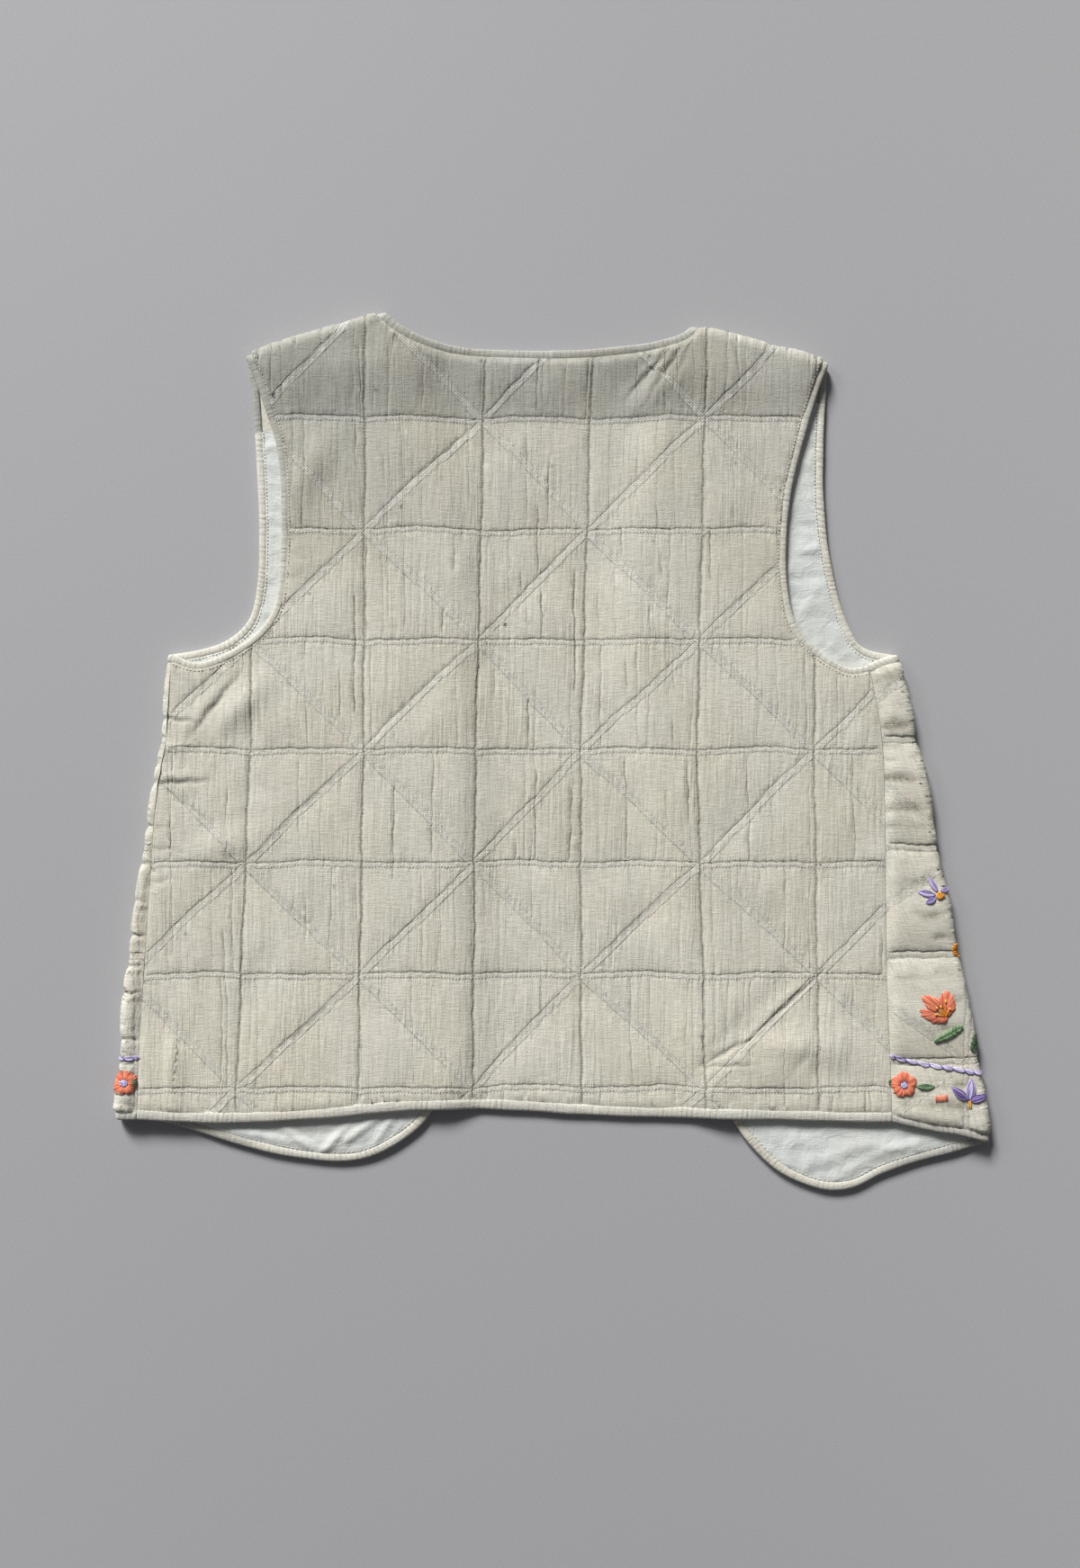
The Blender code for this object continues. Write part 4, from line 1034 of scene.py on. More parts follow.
def cloth_material(name, slub=1.0, banded=True, pleats=0.0, crush=0.0):
    """Woven cotton: uneven threads both ways, faint stripes and patches of tone, fine pleats along the warp,
    and a checkered weave in stitched bands. Attributes say where the bands are, how much painted shade lies
    in the grooves and other hollows, and how light the cloth is, with painted shade laid into that in places."""
    dark, light, cool, warm = (linear(tone) for tone in COTTONS[name])
    n = Nodes(name)
    place = n.attribute("pattern", "Vector")
    weft = n.noise(place, (0.10, 1.0, 1.0), 4.0, 0.7, 0.3)
    warp = n.noise(place, (1.1, 0.08, 1.0), 3.0, 0.6, 0.2)
    fine = n.noise(place, (1.9, 1.9, 1.0), 1.0, 0.5)
    threads = n.blend(weft, 0.62, warp, 0.38)
    colour = n.ramp(n.blend(threads, 0.8, fine, 0.2), (0.32, dark), (0.62, light))
    stripes = n.noise(place, (0.11, 0.008, 1.0), 3.0, 0.6)
    colour = n.mix(n.levels(stripes, (0.42, 0), (0.66, 0.5)), colour, cool)
    patches = n.noise(place, (0.016, 0.012, 1.0), 2.0, 0.5)
    colour = n.mix(n.levels(patches, (0.42, 0), (0.62, 0.6)), colour, warm)
    # The tone attribute greys the cloth: its own lightness, with painted shade in it on the back's upper
    # parts, the left strip and some rolls.
    colour = n.mix(1.0, colour, n.mix(n.attribute("tone"), (0.56, 0.58, 0.60), (1.0, 1.0, 1.0), "MIX"))
    height = n.blend(threads, 0.8 * slub, fine, 0.3)
    if banded:
        check = n.add("ShaderNodeTexChecker", {"Vector": n.scaled(place, (0.95, 0.95, 0.0)), "Scale": 1.0})
        band = n.attribute("band")
        loops = n.math("MULTIPLY", check.node.outputs["Fac"], band)
        height = n.math("ADD", height, n.math("MULTIPLY", loops, 1.3))
        gaps = n.math("SUBTRACT", band, loops)
        colour = n.mix(n.math("MULTIPLY", gaps, 0.10), colour, (0.60, 0.58, 0.53))
        colour = n.mix(n.math("MULTIPLY", loops, 0.55), colour, (0.94, 0.94, 0.9), "MIX")
    # Painted shade in grooves and other hollows, broken up by noise.
    broken = n.levels(n.noise(place, (0.33, 0.33, 1.0), 2.0, 0.6), (0.36, 0.5), (0.58, 1.0))
    groove = n.math("MULTIPLY", n.attribute("groove"), broken, clamp=True)
    colour = n.mix(groove, colour, (0.34, 0.31, 0.27))
    normal = None
    if pleats:
        fold = n.noise(place, (0.30, 0.02, 1.0), 3.0, 0.6, 0.5)
        where = n.levels(n.noise(place, (0.03, 0.02, 1.0), 1.0, 0.5), (0.35, 0.25), (0.65, 1.0))
        normal = n.bump(n.math("MULTIPLY", fold, where), 0.0035, pleats)
        gathers = n.noise(place, (0.34, 0.07, 1.0), 2.0, 0.6, 0.4)
        normal = n.bump(n.math("MULTIPLY", gathers, n.attribute("gather")), 0.0022, 0.6, normal)
        normal = n.bump(n.noise(place, (0.5, 1.4, 1.0), 3.0, 0.6, 0.5), 0.0009, 0.3, normal)
    if crush:
        normal = n.bump(n.noise(place, (0.10, 0.10, 1.0), 3.0, 0.55, 0.8), 0.002, crush, normal)
    normal = n.bump(height, 0.0005, 1.0, normal)
    sheen = {"Sheen_Weight": 0.08, "Sheen_Roughness": 0.55}
    return n.finish(colour, normal, Roughness=0.92, Specular_IOR_Level=0.2, **sheen)


def thread_material(name, dark, light):
    """Stranded thread: each stitch its own shade, with twisted strands."""
    n = Nodes(name)
    strands = n.noise(n.attribute("pattern", "Vector"), (0.9, 5.0, 1.0), 2.0, 0.6)
    value = n.blend(n.attribute("shade"), 0.7, strands, 0.3)
    colour = n.ramp(value, (0.2, linear(dark)), (0.8, linear(light)))
    normal = n.bump(strands, 0.00015, 0.6)
    return n.finish(colour, normal, Roughness=0.68, Sheen_Weight=0.15, Sheen_Roughness=0.35)


def floor_material():
    n = Nodes("backdrop_paper")
    place = n.add("ShaderNodeTexCoord", {}).node.outputs["Object"]
    grain = n.noise(place, (700.0, 700.0, 1.0), 2.0, 0.6)
    colour = n.ramp(grain, (0.3, linear((183, 184, 188))), (0.7, linear((190, 191, 195))))
    # Painted shade: the backdrop is darker in broad soft patches, as where the lamps' light falls off.
    across = n.noise(place, (1.1, 0.35, 1.0), 0.0, 0.0)
    colour = n.mix(n.levels(across, (0.35, 0), (0.65, 1)), colour, (0.86, 0.86, 0.87))
    return n.finish(colour, None, Roughness=0.9, Specular_IOR_Level=0.1)


# ---------------------------------------------------------------------------------------------------------
# Panels.


def edge_places(outline, flat):
    """(distance to the outline, how far round it the nearest place is)."""
    tree = tree_of(outline)
    step = np.linalg.norm(outline - np.roll(outline, -1, axis=0), axis=1).mean()
    found = [tree.find((x, y, 0.0)) for x, y in flat]
    return np.array([f[2] for f in found]), np.array([f[1] for f in found]) * step


def soft_noise(flat, scale, phase):
    """Smooth bumps between -1 and 1, from crossed waves."""
    x, y = flat.T / scale
    total = np.sin(1.3 * x + 2.1 * y + phase) + np.sin(-2.2 * x + 1.1 * y + 2 * phase)
    total += np.sin(0.6 * x - 1.7 * y + 3.1 * phase + np.sin(x + phase))
    return total / 3


def eased(share):
    """The share of a panel's full relief, which is least at a seam or a bound edge."""
    return LEAST_RELIEF + (1 - LEAST_RELIEF) * smoothstep(share)


def edge_form(bound, flat):
    """How a panel is near its bound edges: (share of its full relief, puckers, how much painted shade lies
    along the roll).
    """
    distance, place = edge_places(bound, flat)
    wave = np.sin(2 * math.pi * place / PUCKER_PITCH + 1.4 * np.sin(place / 17)) + 0.6 * np.sin(place / 4.1)
    swell = 0.55 + 0.45 * np.sin(place / 31.0)
    puckers = PUCKER_DEPTH * swell * wave * np.exp(-distance / PUCKER_REACH) * smoothstep(distance / 1.2)
    return eased(distance / 3.0), puckers, EDGE_PAINTED_SHADE * np.exp(-((distance - OVERLAP) ** 2))


def to_side_seam(flat):
    """How far the side seam is, and farther high on the left, where the padding hides it."""
    x, y = flat.T
    hidden = smoothstep((y + 84) / 24) * (x < 0)
    return np.abs(np.abs(x) - side_line("seam", x, y)) + SEAM_HIDDEN * hidden


# A quilted outer face, by its quilting, its puckers, how plain its bands are, and functions: of the flat
# pattern, its places in the grid (grid_of), where it rests on the floor or another layer (rested), how light
# its cloth is, painted shade included (tone), and how far its side seam is (to_seam); of the grid, how deep
# its crinkles are (creased) and how much more it is padded (padded).
Face = namedtuple("Face", "quilting grid_of creased rested tone to_seam padded puckers banded")


def quilted_face(bound, face):
    """height(flat) and attributes(flat) of a quilted outer face, with bound edges."""

    def height(flat):
        grid = face.grid_of(flat)
        stands, edge, _ = edge_form(bound, flat)
        stands *= eased(face.to_seam(flat) / 4)
        rested = face.rested(flat)
        relief = (face.quilting.height(grid) + face.padded(grid)) * stands + edge
        relief += 0.10 * soft_noise(flat, 11.0, 1.0) + 0.2 * soft_noise(flat, 27.0, 2.0)
        wavy = flat + 0.5 * np.sin(flat[:, ::-1] * 0.5) + 0.2 * np.sin(flat[:, ::-1] * 1.1)
        relief += (crease_height(face.puckers, *wavy.T) - face.creased(grid)) * stands
        return WALL / 2 + relief * (1 - rested) - REST_GROOVE * face.quilting.grooves(grid) * rested

    def attributes(flat):
        grid = face.grid_of(flat)
        bands = face.quilting.bands(grid)
        band = 1 - smoothstep((np.minimum.reduce(bands) + 0.7) / 1.7)
        # Painted shade in grooves, in crinkles, in hollow puckers and where the panel meets its roll.
        hollows = [pucker for pucker in face.puckers if pucker.height < 0 and pucker.width < 2]
        painted_crease_shade = np.maximum(CRINKLE_PAINTED_SHADE * face.creased(grid), -PUCKER_PAINTED_SHADE * crease_height(hollows, *flat.T))
        groove = np.maximum(GROOVE_PAINTED_SHADE * face.quilting.grooves(grid), np.clip(painted_crease_shade, 0, 0.9))
        groove = np.maximum(groove, edge_form(bound, flat)[2])
        gather = np.exp(-np.minimum(np.abs(bands[0]), np.abs(bands[2])) / 3.0)
        return {"band": band * face.banded, "groove": groove, "tone": face.tone(flat), "gather": gather}

    return height, attributes


def plain_attributes(flat):
    zero = np.zeros(len(flat))
    return {"band": zero, "groove": zero, "tone": np.full(len(flat), PLAIN_TONE), "gather": zero}


def plain_height(flat):
    return np.full(len(flat), WALL / 2)


def quilt_runs(face, outline, flat_of, step, crinkles=(), wrinkles=()):
    """Mesh lines along the edges of every stitched band, and along every crinkle and pucker."""
    grid_outline = face.grid_of(outline)
    lines = []
    for start, stop, half in face.quilting.lines(grid_outline.min(axis=0), grid_outline.max(axis=0)):
        way = np.array(stop) - np.array(start)
        length = np.linalg.norm(way)
        count = max(2, round(length / step))
        middle = np.array(start) + way * np.linspace(0, 1, count + 1)[:, None]
        reaches = (0, 0.5, 1.2) if half < 1 else (-0.55, 0, 0.5, 1.2)
        for out in reaches:
            aside = left_of(way) / length * (half + out)
            lines += [flat_of(middle + aside), flat_of(middle - aside)]
    for crinkle in [*crinkles, *wrinkles]:
        count = max(3, round((crinkle.top - crinkle.bottom) / (step * CRINKLE_SHARE)))
        ys = np.linspace(crinkle.bottom, crinkle.top, count)
        for out in (-1.6, -0.7, 0.0, 0.8, 2.2):
            line = np.column_stack((crinkle_x(crinkle, ys) + out * crinkle.half, ys))
            lines.append(flat_of(line[:, ::-1] if crinkle in wrinkles else line))
    for pucker in face.puckers:
        way = direction(math.radians(pucker.angle))
        shares = np.arange(-0.6, 0.61, 2.4 / pucker.length)
        middle = np.array((pucker.x, pucker.y)) + way * shares[:, None] * pucker.length
        for out in (-2.2, -1.1, -0.4, 0.4, 1.1, 2.2):
            lines.append(middle + left_of(way) * out * pucker.width)
    return clipped(lines, outline, 1.0)


def outline_points(cut):
    return np.concatenate([spaced(line, OUTLINE_STEP)[:-1] for line in cut.values()])


def mesh_points(outline, runs, curl, step):
    """Points that fill what runs and curl leave."""
    fixed = [*runs, curl] if len(curl) else list(runs)
    tree = tree_of(np.concatenate(fixed)) if fixed else None
    filled = fill_points(outline, step, 1.3, tree, step * 0.42)
    if runs and len(curl):
        curl = curl[distances(tree_of(np.concatenate(runs)), curl) > 0.6]
    return np.concatenate((filled, curl))


def make_panel(name, cut, bound_names, face, runs, past_of, lay, upward, material):
    """A quilted panel, and height(flat) of its outer face, which lies upwards or downwards. past_of(flat)
    says how far places are past the start of its curl, which has evenly spaced points."""
    outline = outline_points(cut)
    bound = np.concatenate([spaced(cut[key], OUTLINE_STEP) for key in bound_names])
    curl = fill_points(outline, CURL_STEP, 1.0)
    past = past_of(curl)
    curl = curl[(past > -2) & (past < CURL + 2)]
    height, attributes = quilted_face(bound, face)
    outer = (runs, mesh_points(outline, runs, curl, FILL_STEP), height, attributes)
    inner = ([], mesh_points(outline, [], curl, PLAIN_STEP), plain_height, plain_attributes)
    upper, lower = (outer, inner) if upward else (inner, outer)
    return wall(name, outline, upper, lower, lay, material), height


BACK_QUILTING = Quilting(BACK_ROWS, BACK_COLUMNS, BACK_BANDS, BACK_GROOVES, BACK_CROWN)


def back_tone_and_shade(flat):
    """0 for the darkest cloth, 1 for the lightest, with painted shade laid in: each patch is a little lighter
    or darker as painted shade for its tilt, the cloth is lighter low down, darker higher up and at the upper
    left, and the top band is darkened with painted shade where it slopes away from the light.
    """
    number, _, _ = BACK_QUILTING.patch(to_grid(flat))
    x, y = flat.T
    tone = 0.86 + 0.02 * np.sin(number * 3.3) + 0.12 * smoothstep((-90 - y) / 120)
    tone -= 0.2 * smoothstep((y - 80) / 90) + 0.16 * smoothstep((y - 90) / 90) * smoothstep((-x - 90) / 90)
    # Painted shade: the top band, less on the right, and the upper left corner.
    top = smoothstep((y - 219) / 5) * (1 - 0.42 * smoothstep((x - 60) / 90))
    corner = smoothstep((-60 - x) / 60) * smoothstep((y - 120) / 60) * 0.45
    return tone - 0.5 * np.maximum(top, corner)


def make_back(edges, material):
    cut = back_outline(edges, 1, OVERLAP)
    outline = outline_points(cut)
    crinkles = make_crinkles(BACK_QUILTING, to_grid(outline).min(axis=0), to_grid(outline).max(axis=0))
    face = Face(
        BACK_QUILTING,
        to_grid,
        creased=lambda grid: crinkle_depth(crinkles, grid),
        rested=lambda flat: smoothstep((shoulder_past(flat) - 0.35 * CURL) / (0.4 * CURL)),
        tone=back_tone_and_shade,
        to_seam=to_side_seam,
        padded=lambda grid: TOP_SWELL * smoothstep((grid[:, 1] - BACK_ROWS[7]) / 38),
        puckers=PUCKERS,
        banded=1.0,
    )
    runs = quilt_runs(face, outline, from_grid, ALONG_STEP, crinkles)
    names = ("hem", "armhole_right", "neck", "armhole_left")
    return make_panel("back", cut, names, face, runs, shoulder_past, lay_back, True, material)


def strip_quilting(half):
    places = [-x for x in FRONT_COLUMNS[-2::-1]] if half is LEFT else FRONT_COLUMNS
    columns = [Crossing(x, x, x) for x in places]
    return Quilting(FRONT_ROWS, columns, STRIP_BANDS, STRIP_GROOVES, STRIP_CROWN)


def strip_padding(quilting, grid):
    """The strip swells between its rows, clear of the side seam."""
    x, y = grid.T
    off_seam = smoothstep((np.abs(x) - side_line("seam", x, y)) / 7)
    return STRIP_PADDING * (1 - np.abs(2 * quilting.cell(grid).up - 1) ** 2.6) * off_seam


def away_from_fold(grid):
    """Wrinkles fade where the cloth turns round the side fold."""
    x, y = grid.T
    return 1 - 0.85 * smoothstep((np.abs(x) - side_line("fold", x, y) + 10) / 8)


def make_front(half, edges, material):
    cut = front_outline(half, edges, 1, OVERLAP)
    outline = outline_points(cut)
    quilting = strip_quilting(half)
    wrinkles = make_wrinkles(half, outline[:, 1].min(), SIDES[half][-1].y - 4)
    tucks = []
    if half is LEFT:
        for y, depth in LEFT_TUCKS:
            tucks.append(Crease(-along(SIDES[LEFT], y, "fold") - 7, y, 3, 34, 1.5, -0.55 * depth))
    face = Face(
        quilting,
        to_strip,
        creased=lambda grid: crinkle_depth(wrinkles, grid[:, ::-1]) * away_from_fold(grid),
        rested=lambda flat: 1 - smoothstep((past_fold(flat) - 0.3 * CURL) / (0.4 * CURL)),
        # Painted shade: the left strip is greyed higher up.
        tone=lambda flat: 0.98 - 0.14 * smoothstep((flat[:, 1] + 90) / 40) * (half is LEFT),
        to_seam=lambda flat: to_side_seam(opened(flat)),
        padded=lambda grid: strip_padding(quilting, grid),
        puckers=tucks,
        banded=0.6,
    )
    runs = quilt_runs(face, outline, from_strip, STRIP_STEP, wrinkles=wrinkles)
    name = "front_" + half.name + "_cloth"
    return make_panel(name, cut, ("edge", "armhole"), face, runs, past_fold, lay_front, False, material)


def make_lining(half, edges, material):
    outline = outline_points(lining_outline(half, edges))

    def height(flat):
        return np.full(len(flat), LINING / 2)

    def wrinkled(flat):
        distance, place = edge_places(outline, flat)
        x, y = flat.T
        rise = 0.26 * soft_noise(flat, 9.0, 0.7) + 0.34 * np.abs(soft_noise(flat * (0.5, 1.6), 12.0, 2.2))
        rise += 0.12 * soft_noise(flat, 3.7, 1.9)
        rise += 0.3 * np.sin(place / 1.9 + np.sin(place / 9)) * np.exp(-distance / 3.5)
        rise += crease_height(LINING_CREASES[half], x, y)
        most = 1.1 + 1.2 * smoothstep((OPEN_BELOW - y) / 5)
        return LINING / 2 + np.minimum(np.maximum(0.15 + rise, -0.3), most) * smoothstep(distance / 2.5)

    upper = ([], fill_points(outline, LINING_STEP, 1.3), wrinkled, plain_attributes)
    lower = ([], fill_points(outline, PLAIN_STEP * 2, 1.3), height, plain_attributes)
    offset = WALL / 2 + GAP + LINING / 2
    return wall("lining_" + half.name + "_cloth", outline, upper, lower, lay_front, material, offset)


# ---------------------------------------------------------------------------------------------------------
# Bindings and stitches.


def outward(line):
    """The directions out from a bound edge's middle line."""
    runs = units(np.gradient(line, axis=0))
    return np.column_stack((runs[:, 1], -runs[:, 0]))


def laid_off(lay, flat, up, facing):
    """Points at a height up from the binding's middle, on the side that facing gives."""
    middle = lay(flat)
    middle[:, 2] += np.maximum(0, BINDING_THICKNESS / 2 - middle[:, 2])
    return middle + normal_of(lay, flat) * (facing * up)[:, None]


Roll = namedtuple("Roll", "width thick pucker slant phase tone_of")


def binding_rings(line, lay, facing, roll):
    """The rolled edge's rings: (rings, sides, 3), with a pucker at each stitch, its pattern places, how much
    painted shade lies in its grooves, and how light it is, painted shade included."""
    out, walked = outward(line), walked_along(line)
    rings, places, grooves = [], [], []
    uneven = np.sin(walked / 6.3 + roll.phase) * 0.03 + np.sin(walked / 19.0 + 2 * roll.phase) * 0.04
    strong = 0.6 + 0.3 * np.sin(walked / 27.0 + roll.phase) + 0.3 * np.sin(walked / 7.1)
    strong = np.clip(strong + 0.3 * np.sin(walked / 2.9), 0.05, 1.3)
    for k in range(BINDING_SIDES):
        across, up = direction(2 * math.pi * k / BINDING_SIDES)
        turns = 2 * math.pi * walked / ROLL_PITCH + roll.slant * across
        wave = 1 - 1.7 * np.exp(-2.2 * (1 + np.cos(turns + 2.6 * np.sin(walked / 11 + roll.phase))))
        swell = 0.965 + roll.pucker * strong * wave * (0.6 - 0.4 * across) + uneven
        side = math.copysign(abs(across) ** 0.7, across) * roll.width / 2 * swell
        rise = math.copysign(abs(up) ** 0.75, up) * roll.thick / 2 * swell
        ring = laid_off(lay, line + out * side[:, None], rise, facing)
        ring[:, 2] = np.maximum(ring[:, 2], 0.05)
        rings.append(ring)
        places.append(np.column_stack((walked, np.full(len(line), k * 1.1), np.zeros(len(line)))))
        # Painted shade in the dips between puckers.
        grooves.append(np.clip(0.25 - 0.5 * wave, 0, 0.5) * strong)
    tones = [roll.tone_of(line)] * BINDING_SIDES
    return tuple(np.stack(values, axis=1) for values in (rings, places, grooves, tones))


def tube(rings, closed):
    """Faces of a tube through rings of points, (rings, sides, 3)."""
    count, sides = rings.shape[:2]
    faces = []
    for i in range(count if closed else count - 1):
        here, there = i * sides, (i + 1) % count * sides
        for k in range(sides):
            other = (k + 1) % sides
            faces.append((here + k, here + other, there + other, there + k))
    if not closed:
        faces.append(tuple(range(sides))[::-1])
        faces.append(tuple((count - 1) * sides + k for k in range(sides)))
    return faces


def make_tube(name, rolled, closed, material):
    rings, places, grooves, tones = rolled
    values = {"pattern": places.reshape(-1, 3), "groove": grooves.ravel(), "tone": tones.ravel()}
    made = add_mesh(name, rings.reshape(-1, 3), tube(rings, closed), material, values)
    fix_normals(made.data)
    return made


def fix_normals(mesh):
    """Turns a closed mesh's faces outwards, by the sign of its volume."""
    corners = np.empty(len(mesh.vertices) * 3)
    mesh.vertices.foreach_get("co", corners)
    corners = corners.reshape(-1, 3) - corners.reshape(-1, 3).mean(axis=0)
    mesh.calc_loop_triangles()
    triangles = np.empty(len(mesh.loop_triangles) * 3, dtype=np.int32)
    mesh.loop_triangles.foreach_get("vertices", triangles)
    a, b, c = corners[triangles.reshape(-1, 3)].transpose(1, 0, 2)
    if np.einsum("ij,ij->i", a, np.cross(b, c)).sum() < 0:
        mesh.flip_normals()


def joined_rings(first, second):
    """Two stretches of rings as one closed loop, without rings that nearly repeat the one before."""
    values = [np.concatenate(pair) for pair in zip(first, second)]
    middles = values[0].mean(axis=1)
    keep = [0]
    for k in range(1, len(middles)):
        if np.linalg.norm(middles[k] - middles[keep[-1]]) > 0.5 * BINDING_STEP:
            keep.append(k)
    while np.linalg.norm(middles[keep[-1]] - middles[keep[0]]) < 0.5 * BINDING_STEP:
        keep.pop()
    return [v[keep] for v in values]


class Stitches:
    """Threads of one colour, gathered into one mesh."""

    def __init__(self, name, material, seed):
        self.name, self.material = name, material
        self.vertices, self.faces, self.places, self.shades = [], [], [], []
        self.draw = random.Random(seed)
        self.count = 0

    def thread(self, middle, up, width, height, sides=6, shade=None):
        """One thread along middle (points, 3), flattened: width across, height along up."""
        runs = units(np.gradient(middle, axis=0))
        side = units(np.cross(runs, up))
        rise = np.cross(side, runs)
        taper = np.sin(np.linspace(0.16, math.pi - 0.16, len(middle))) ** 0.35
        rings = []
        for k in range(sides):
            cos, sin = direction(2 * math.pi * k / sides)
            across, over = cos * width / 2 * taper, sin * height / 2 * taper
            rings.append(middle + side * across[:, None] + rise * over[:, None])
        rings = np.stack(rings, axis=1)
        count = rings.shape[0] * sides
        self.vertices.append(rings.reshape(count, 3))
        self.faces += [tuple(v + self.count for v in face) for face in tube(rings, False)]
        walked = np.repeat(np.linspace(0, np.linalg.norm(middle[-1] - middle[0]), len(middle)), sides)
        around = np.tile(np.arange(sides) / sides * math.pi * width, len(middle))
        offset = self.draw.uniform(0, 500)
        self.places.append(np.column_stack((walked + offset, around, np.zeros(count))))
        self.shades.append(np.full(count, self.draw.random() if shade is None else shade))
        self.count += count

    def made(self):
        shades = np.concatenate(self.shades)
        values = {"pattern": np.concatenate(self.places), "shade": shades}
        values["band"] = values["groove"] = np.zeros(len(shades))
        return add_mesh(self.name, np.concatenate(self.vertices), self.faces, self.material, values)


def topstitch(stitches, line, lay, across, up, height=None, pitch=STITCH_PITCH, width=0.6):
    """A row of small stitches beside a binding's middle line: across out from it, and up from the wall's
    middle or, where height is given, from its outer face."""
    out, walked = outward(line), walked_along(line)
    starts = np.arange(0.3, walked[-1] - pitch, pitch)
    share = np.linspace(0, 1, 4)
    at = starts[:, None] + share * pitch * 0.7
    flat = (interpolated(at, walked, line) + interpolated(at, walked, out) * across).reshape(-1, 2)
    arch = up + np.tile(0.3 * np.sin(share * math.pi) - 0.1, len(starts))
    if height:
        arch = arch + height(flat)
    middle, normals = laid_off(lay, flat, arch, 1), normal_of(lay, flat)
    for k in range(0, len(flat), len(share)):
        piece = slice(k, k + len(share))
        stitches.thread(middle[piece], normals[piece], width, 0.75 * width, 5)


# ---------------------------------------------------------------------------------------------------------
# Embroidery, in places seen from above.


class Ground:
    """The top side of a front's strip, for whatever is sewn on it."""

    def __init__(self, half, height):
        self.half, self.height = half, height

    def lay(self, points, lift):
        """(places in space, the way up there) for points seen from above."""
        flat = np.array([unfold_side(self.half, Point(self.half.sign * x, y))[:] for x, y in points])
        up = -normal_of(lay_front, flat)
        return lay_front(flat) + up * (self.height(flat) + lift)[:, None], up


def satin(stitches, ground, start, stop, width=THREAD_WIDTH, bend=0.0, lift=0.1, rise=0.5, shade=None):
    """A thread from start to stop, arched over what lies below. One that would be too short is left out."""
    start, stop = np.array(start), np.array(stop)
    reach = stop - start
    if np.linalg.norm(reach) < 0.8:
        return
    share = np.linspace(0, 1, 8)[:, None]
    points = start + reach * share + unit(left_of(reach)) * bend * np.sin(share * math.pi)
    arch = lift + rise * np.sin(share[:, 0] * math.pi) ** 0.6
    middle, up = ground.lay(points, arch)
    stitches.thread(middle, up, width, width * 0.62, shade=shade)


def fan(stitches, ground, base, tips, spacing=0.76, ragged=0.9, **look):
    """Threads from a base line out to a line of tips, both given by a few points."""
    count = max(3, round(sum(math.dist(a, b) for a, b in zip(tips, tips[1:])) / spacing))
    lines = []
    for points in (base, tips):
        walked = walked_along(points)
        lines.append(interpolated(np.linspace(0, walked[-1], count), walked, np.array(points)))
    for start, stop in zip(*lines):
        way = unit(stop - start)
        start = start - way * stitches.draw.uniform(0, 1.2)
        stop = stop + way * stitches.draw.uniform(-ragged, ragged)
        satin(stitches, ground, start, stop, **look)


def lens(stitches, ground, start, stop, spread, threads=4, **look):
    """Threads that share their ends and bow apart between them."""
    for k in range(threads):
        satin(stitches, ground, start, stop, bend=(k / (threads - 1) - 0.5) * spread, **look)


def leaf(stitches, ground, start, stop, breadth, spacing=1.0, **look):
    """A leaf of short slanting threads on both sides of its middle line."""
    start, stop = np.array(start), np.array(stop)
    length = np.linalg.norm(stop - start)
    run = (stop - start) / length
    side = left_of(run)
    count = max(3, round(length / spacing))
    for k in range(count):
        share = (k + 0.5) / count
        half = breadth / 2 * math.sin(math.pi * min(1, share * 0.85 + 0.12)) ** 0.6
        for way in (-1, 1):
            inner = start + run * length * share - side * way * 0.5
            uneven = stitches.draw.uniform(0.85, 1.1)
            outer = start + run * (length * share + 0.9 * half) + side * way * half * uneven
            satin(stitches, ground, inner, outer, **look)


def ring_flower(petals, middle, ground, centre, radius, core):
    """A round flower of five lobes, with threads that all run out from a knotted middle."""
    count = round(2 * math.pi * radius / THREAD_WIDTH)
    for k in range(count):
        angle = 2 * math.pi * k / count
        way = direction(angle)
        lobe = 0.74 + 0.26 * abs(math.cos(2.5 * (angle - 0.4))) ** 0.45
        far = radius * lobe * petals.draw.uniform(0.95, 1.04)
        inner = core * petals.draw.uniform(0.6, 1.0)
        satin(petals, ground, centre + way * inner, centre + way * far, lift=0.15, rise=0.8)
    knots(middle, ground, centre, core)


def knots(stitches, ground, centre, radius, size=1.2):
    """Small loops of thread packed into a disc."""
    places = [np.array(centre)]
    for ring in range(1, max(2, round(radius / size) + 1)):
        for k in range(ring * 6):
            angle = 2 * math.pi * (k + 0.5 * ring) / (ring * 6)
            places.append(centre + direction(angle) * ring * size * 0.72)
    for place in places:
        way = direction(stitches.draw.uniform(0, math.pi)) * size * 0.5
        satin(stitches, ground, place - way, place + way, width=size * 0.9, lift=0.6, rise=0.5)


def rope(light, dark, ground, points, width=2.3):
    """A line of plump loops, each crossed by a thin dark thread where it meets the next."""
    for k, (start, stop) in enumerate(zip(points, points[1:])):
        start, stop = np.array(start), np.array(stop)
        run = unit(stop - start)
        side = left_of(run)
        plump = width * (1.0 if k % 2 else 0.85)
        ends = start - run * 0.7 + side * 0.6, stop + run * 0.7 - side * 0.6
        lens(light, ground, *ends, plump, lift=0.25, rise=0.7)
        ends = stop - run * 1.1 + side * 1.1, stop + run * 1.1 - side * 0.9
        satin(dark, ground, *ends, width=0.7, lift=0.9, rise=0.2)


def spray(outer, inner, ground, start, stop, width):
    """A narrow petal: a dark loop round light threads."""
    lens(outer, ground, start, stop, width, threads=2, width=0.9, lift=0.35, rise=0.5)
    lens(inner, ground, start, stop, width * 0.42, threads=2, width=0.9, lift=0.3, rise=0.5)


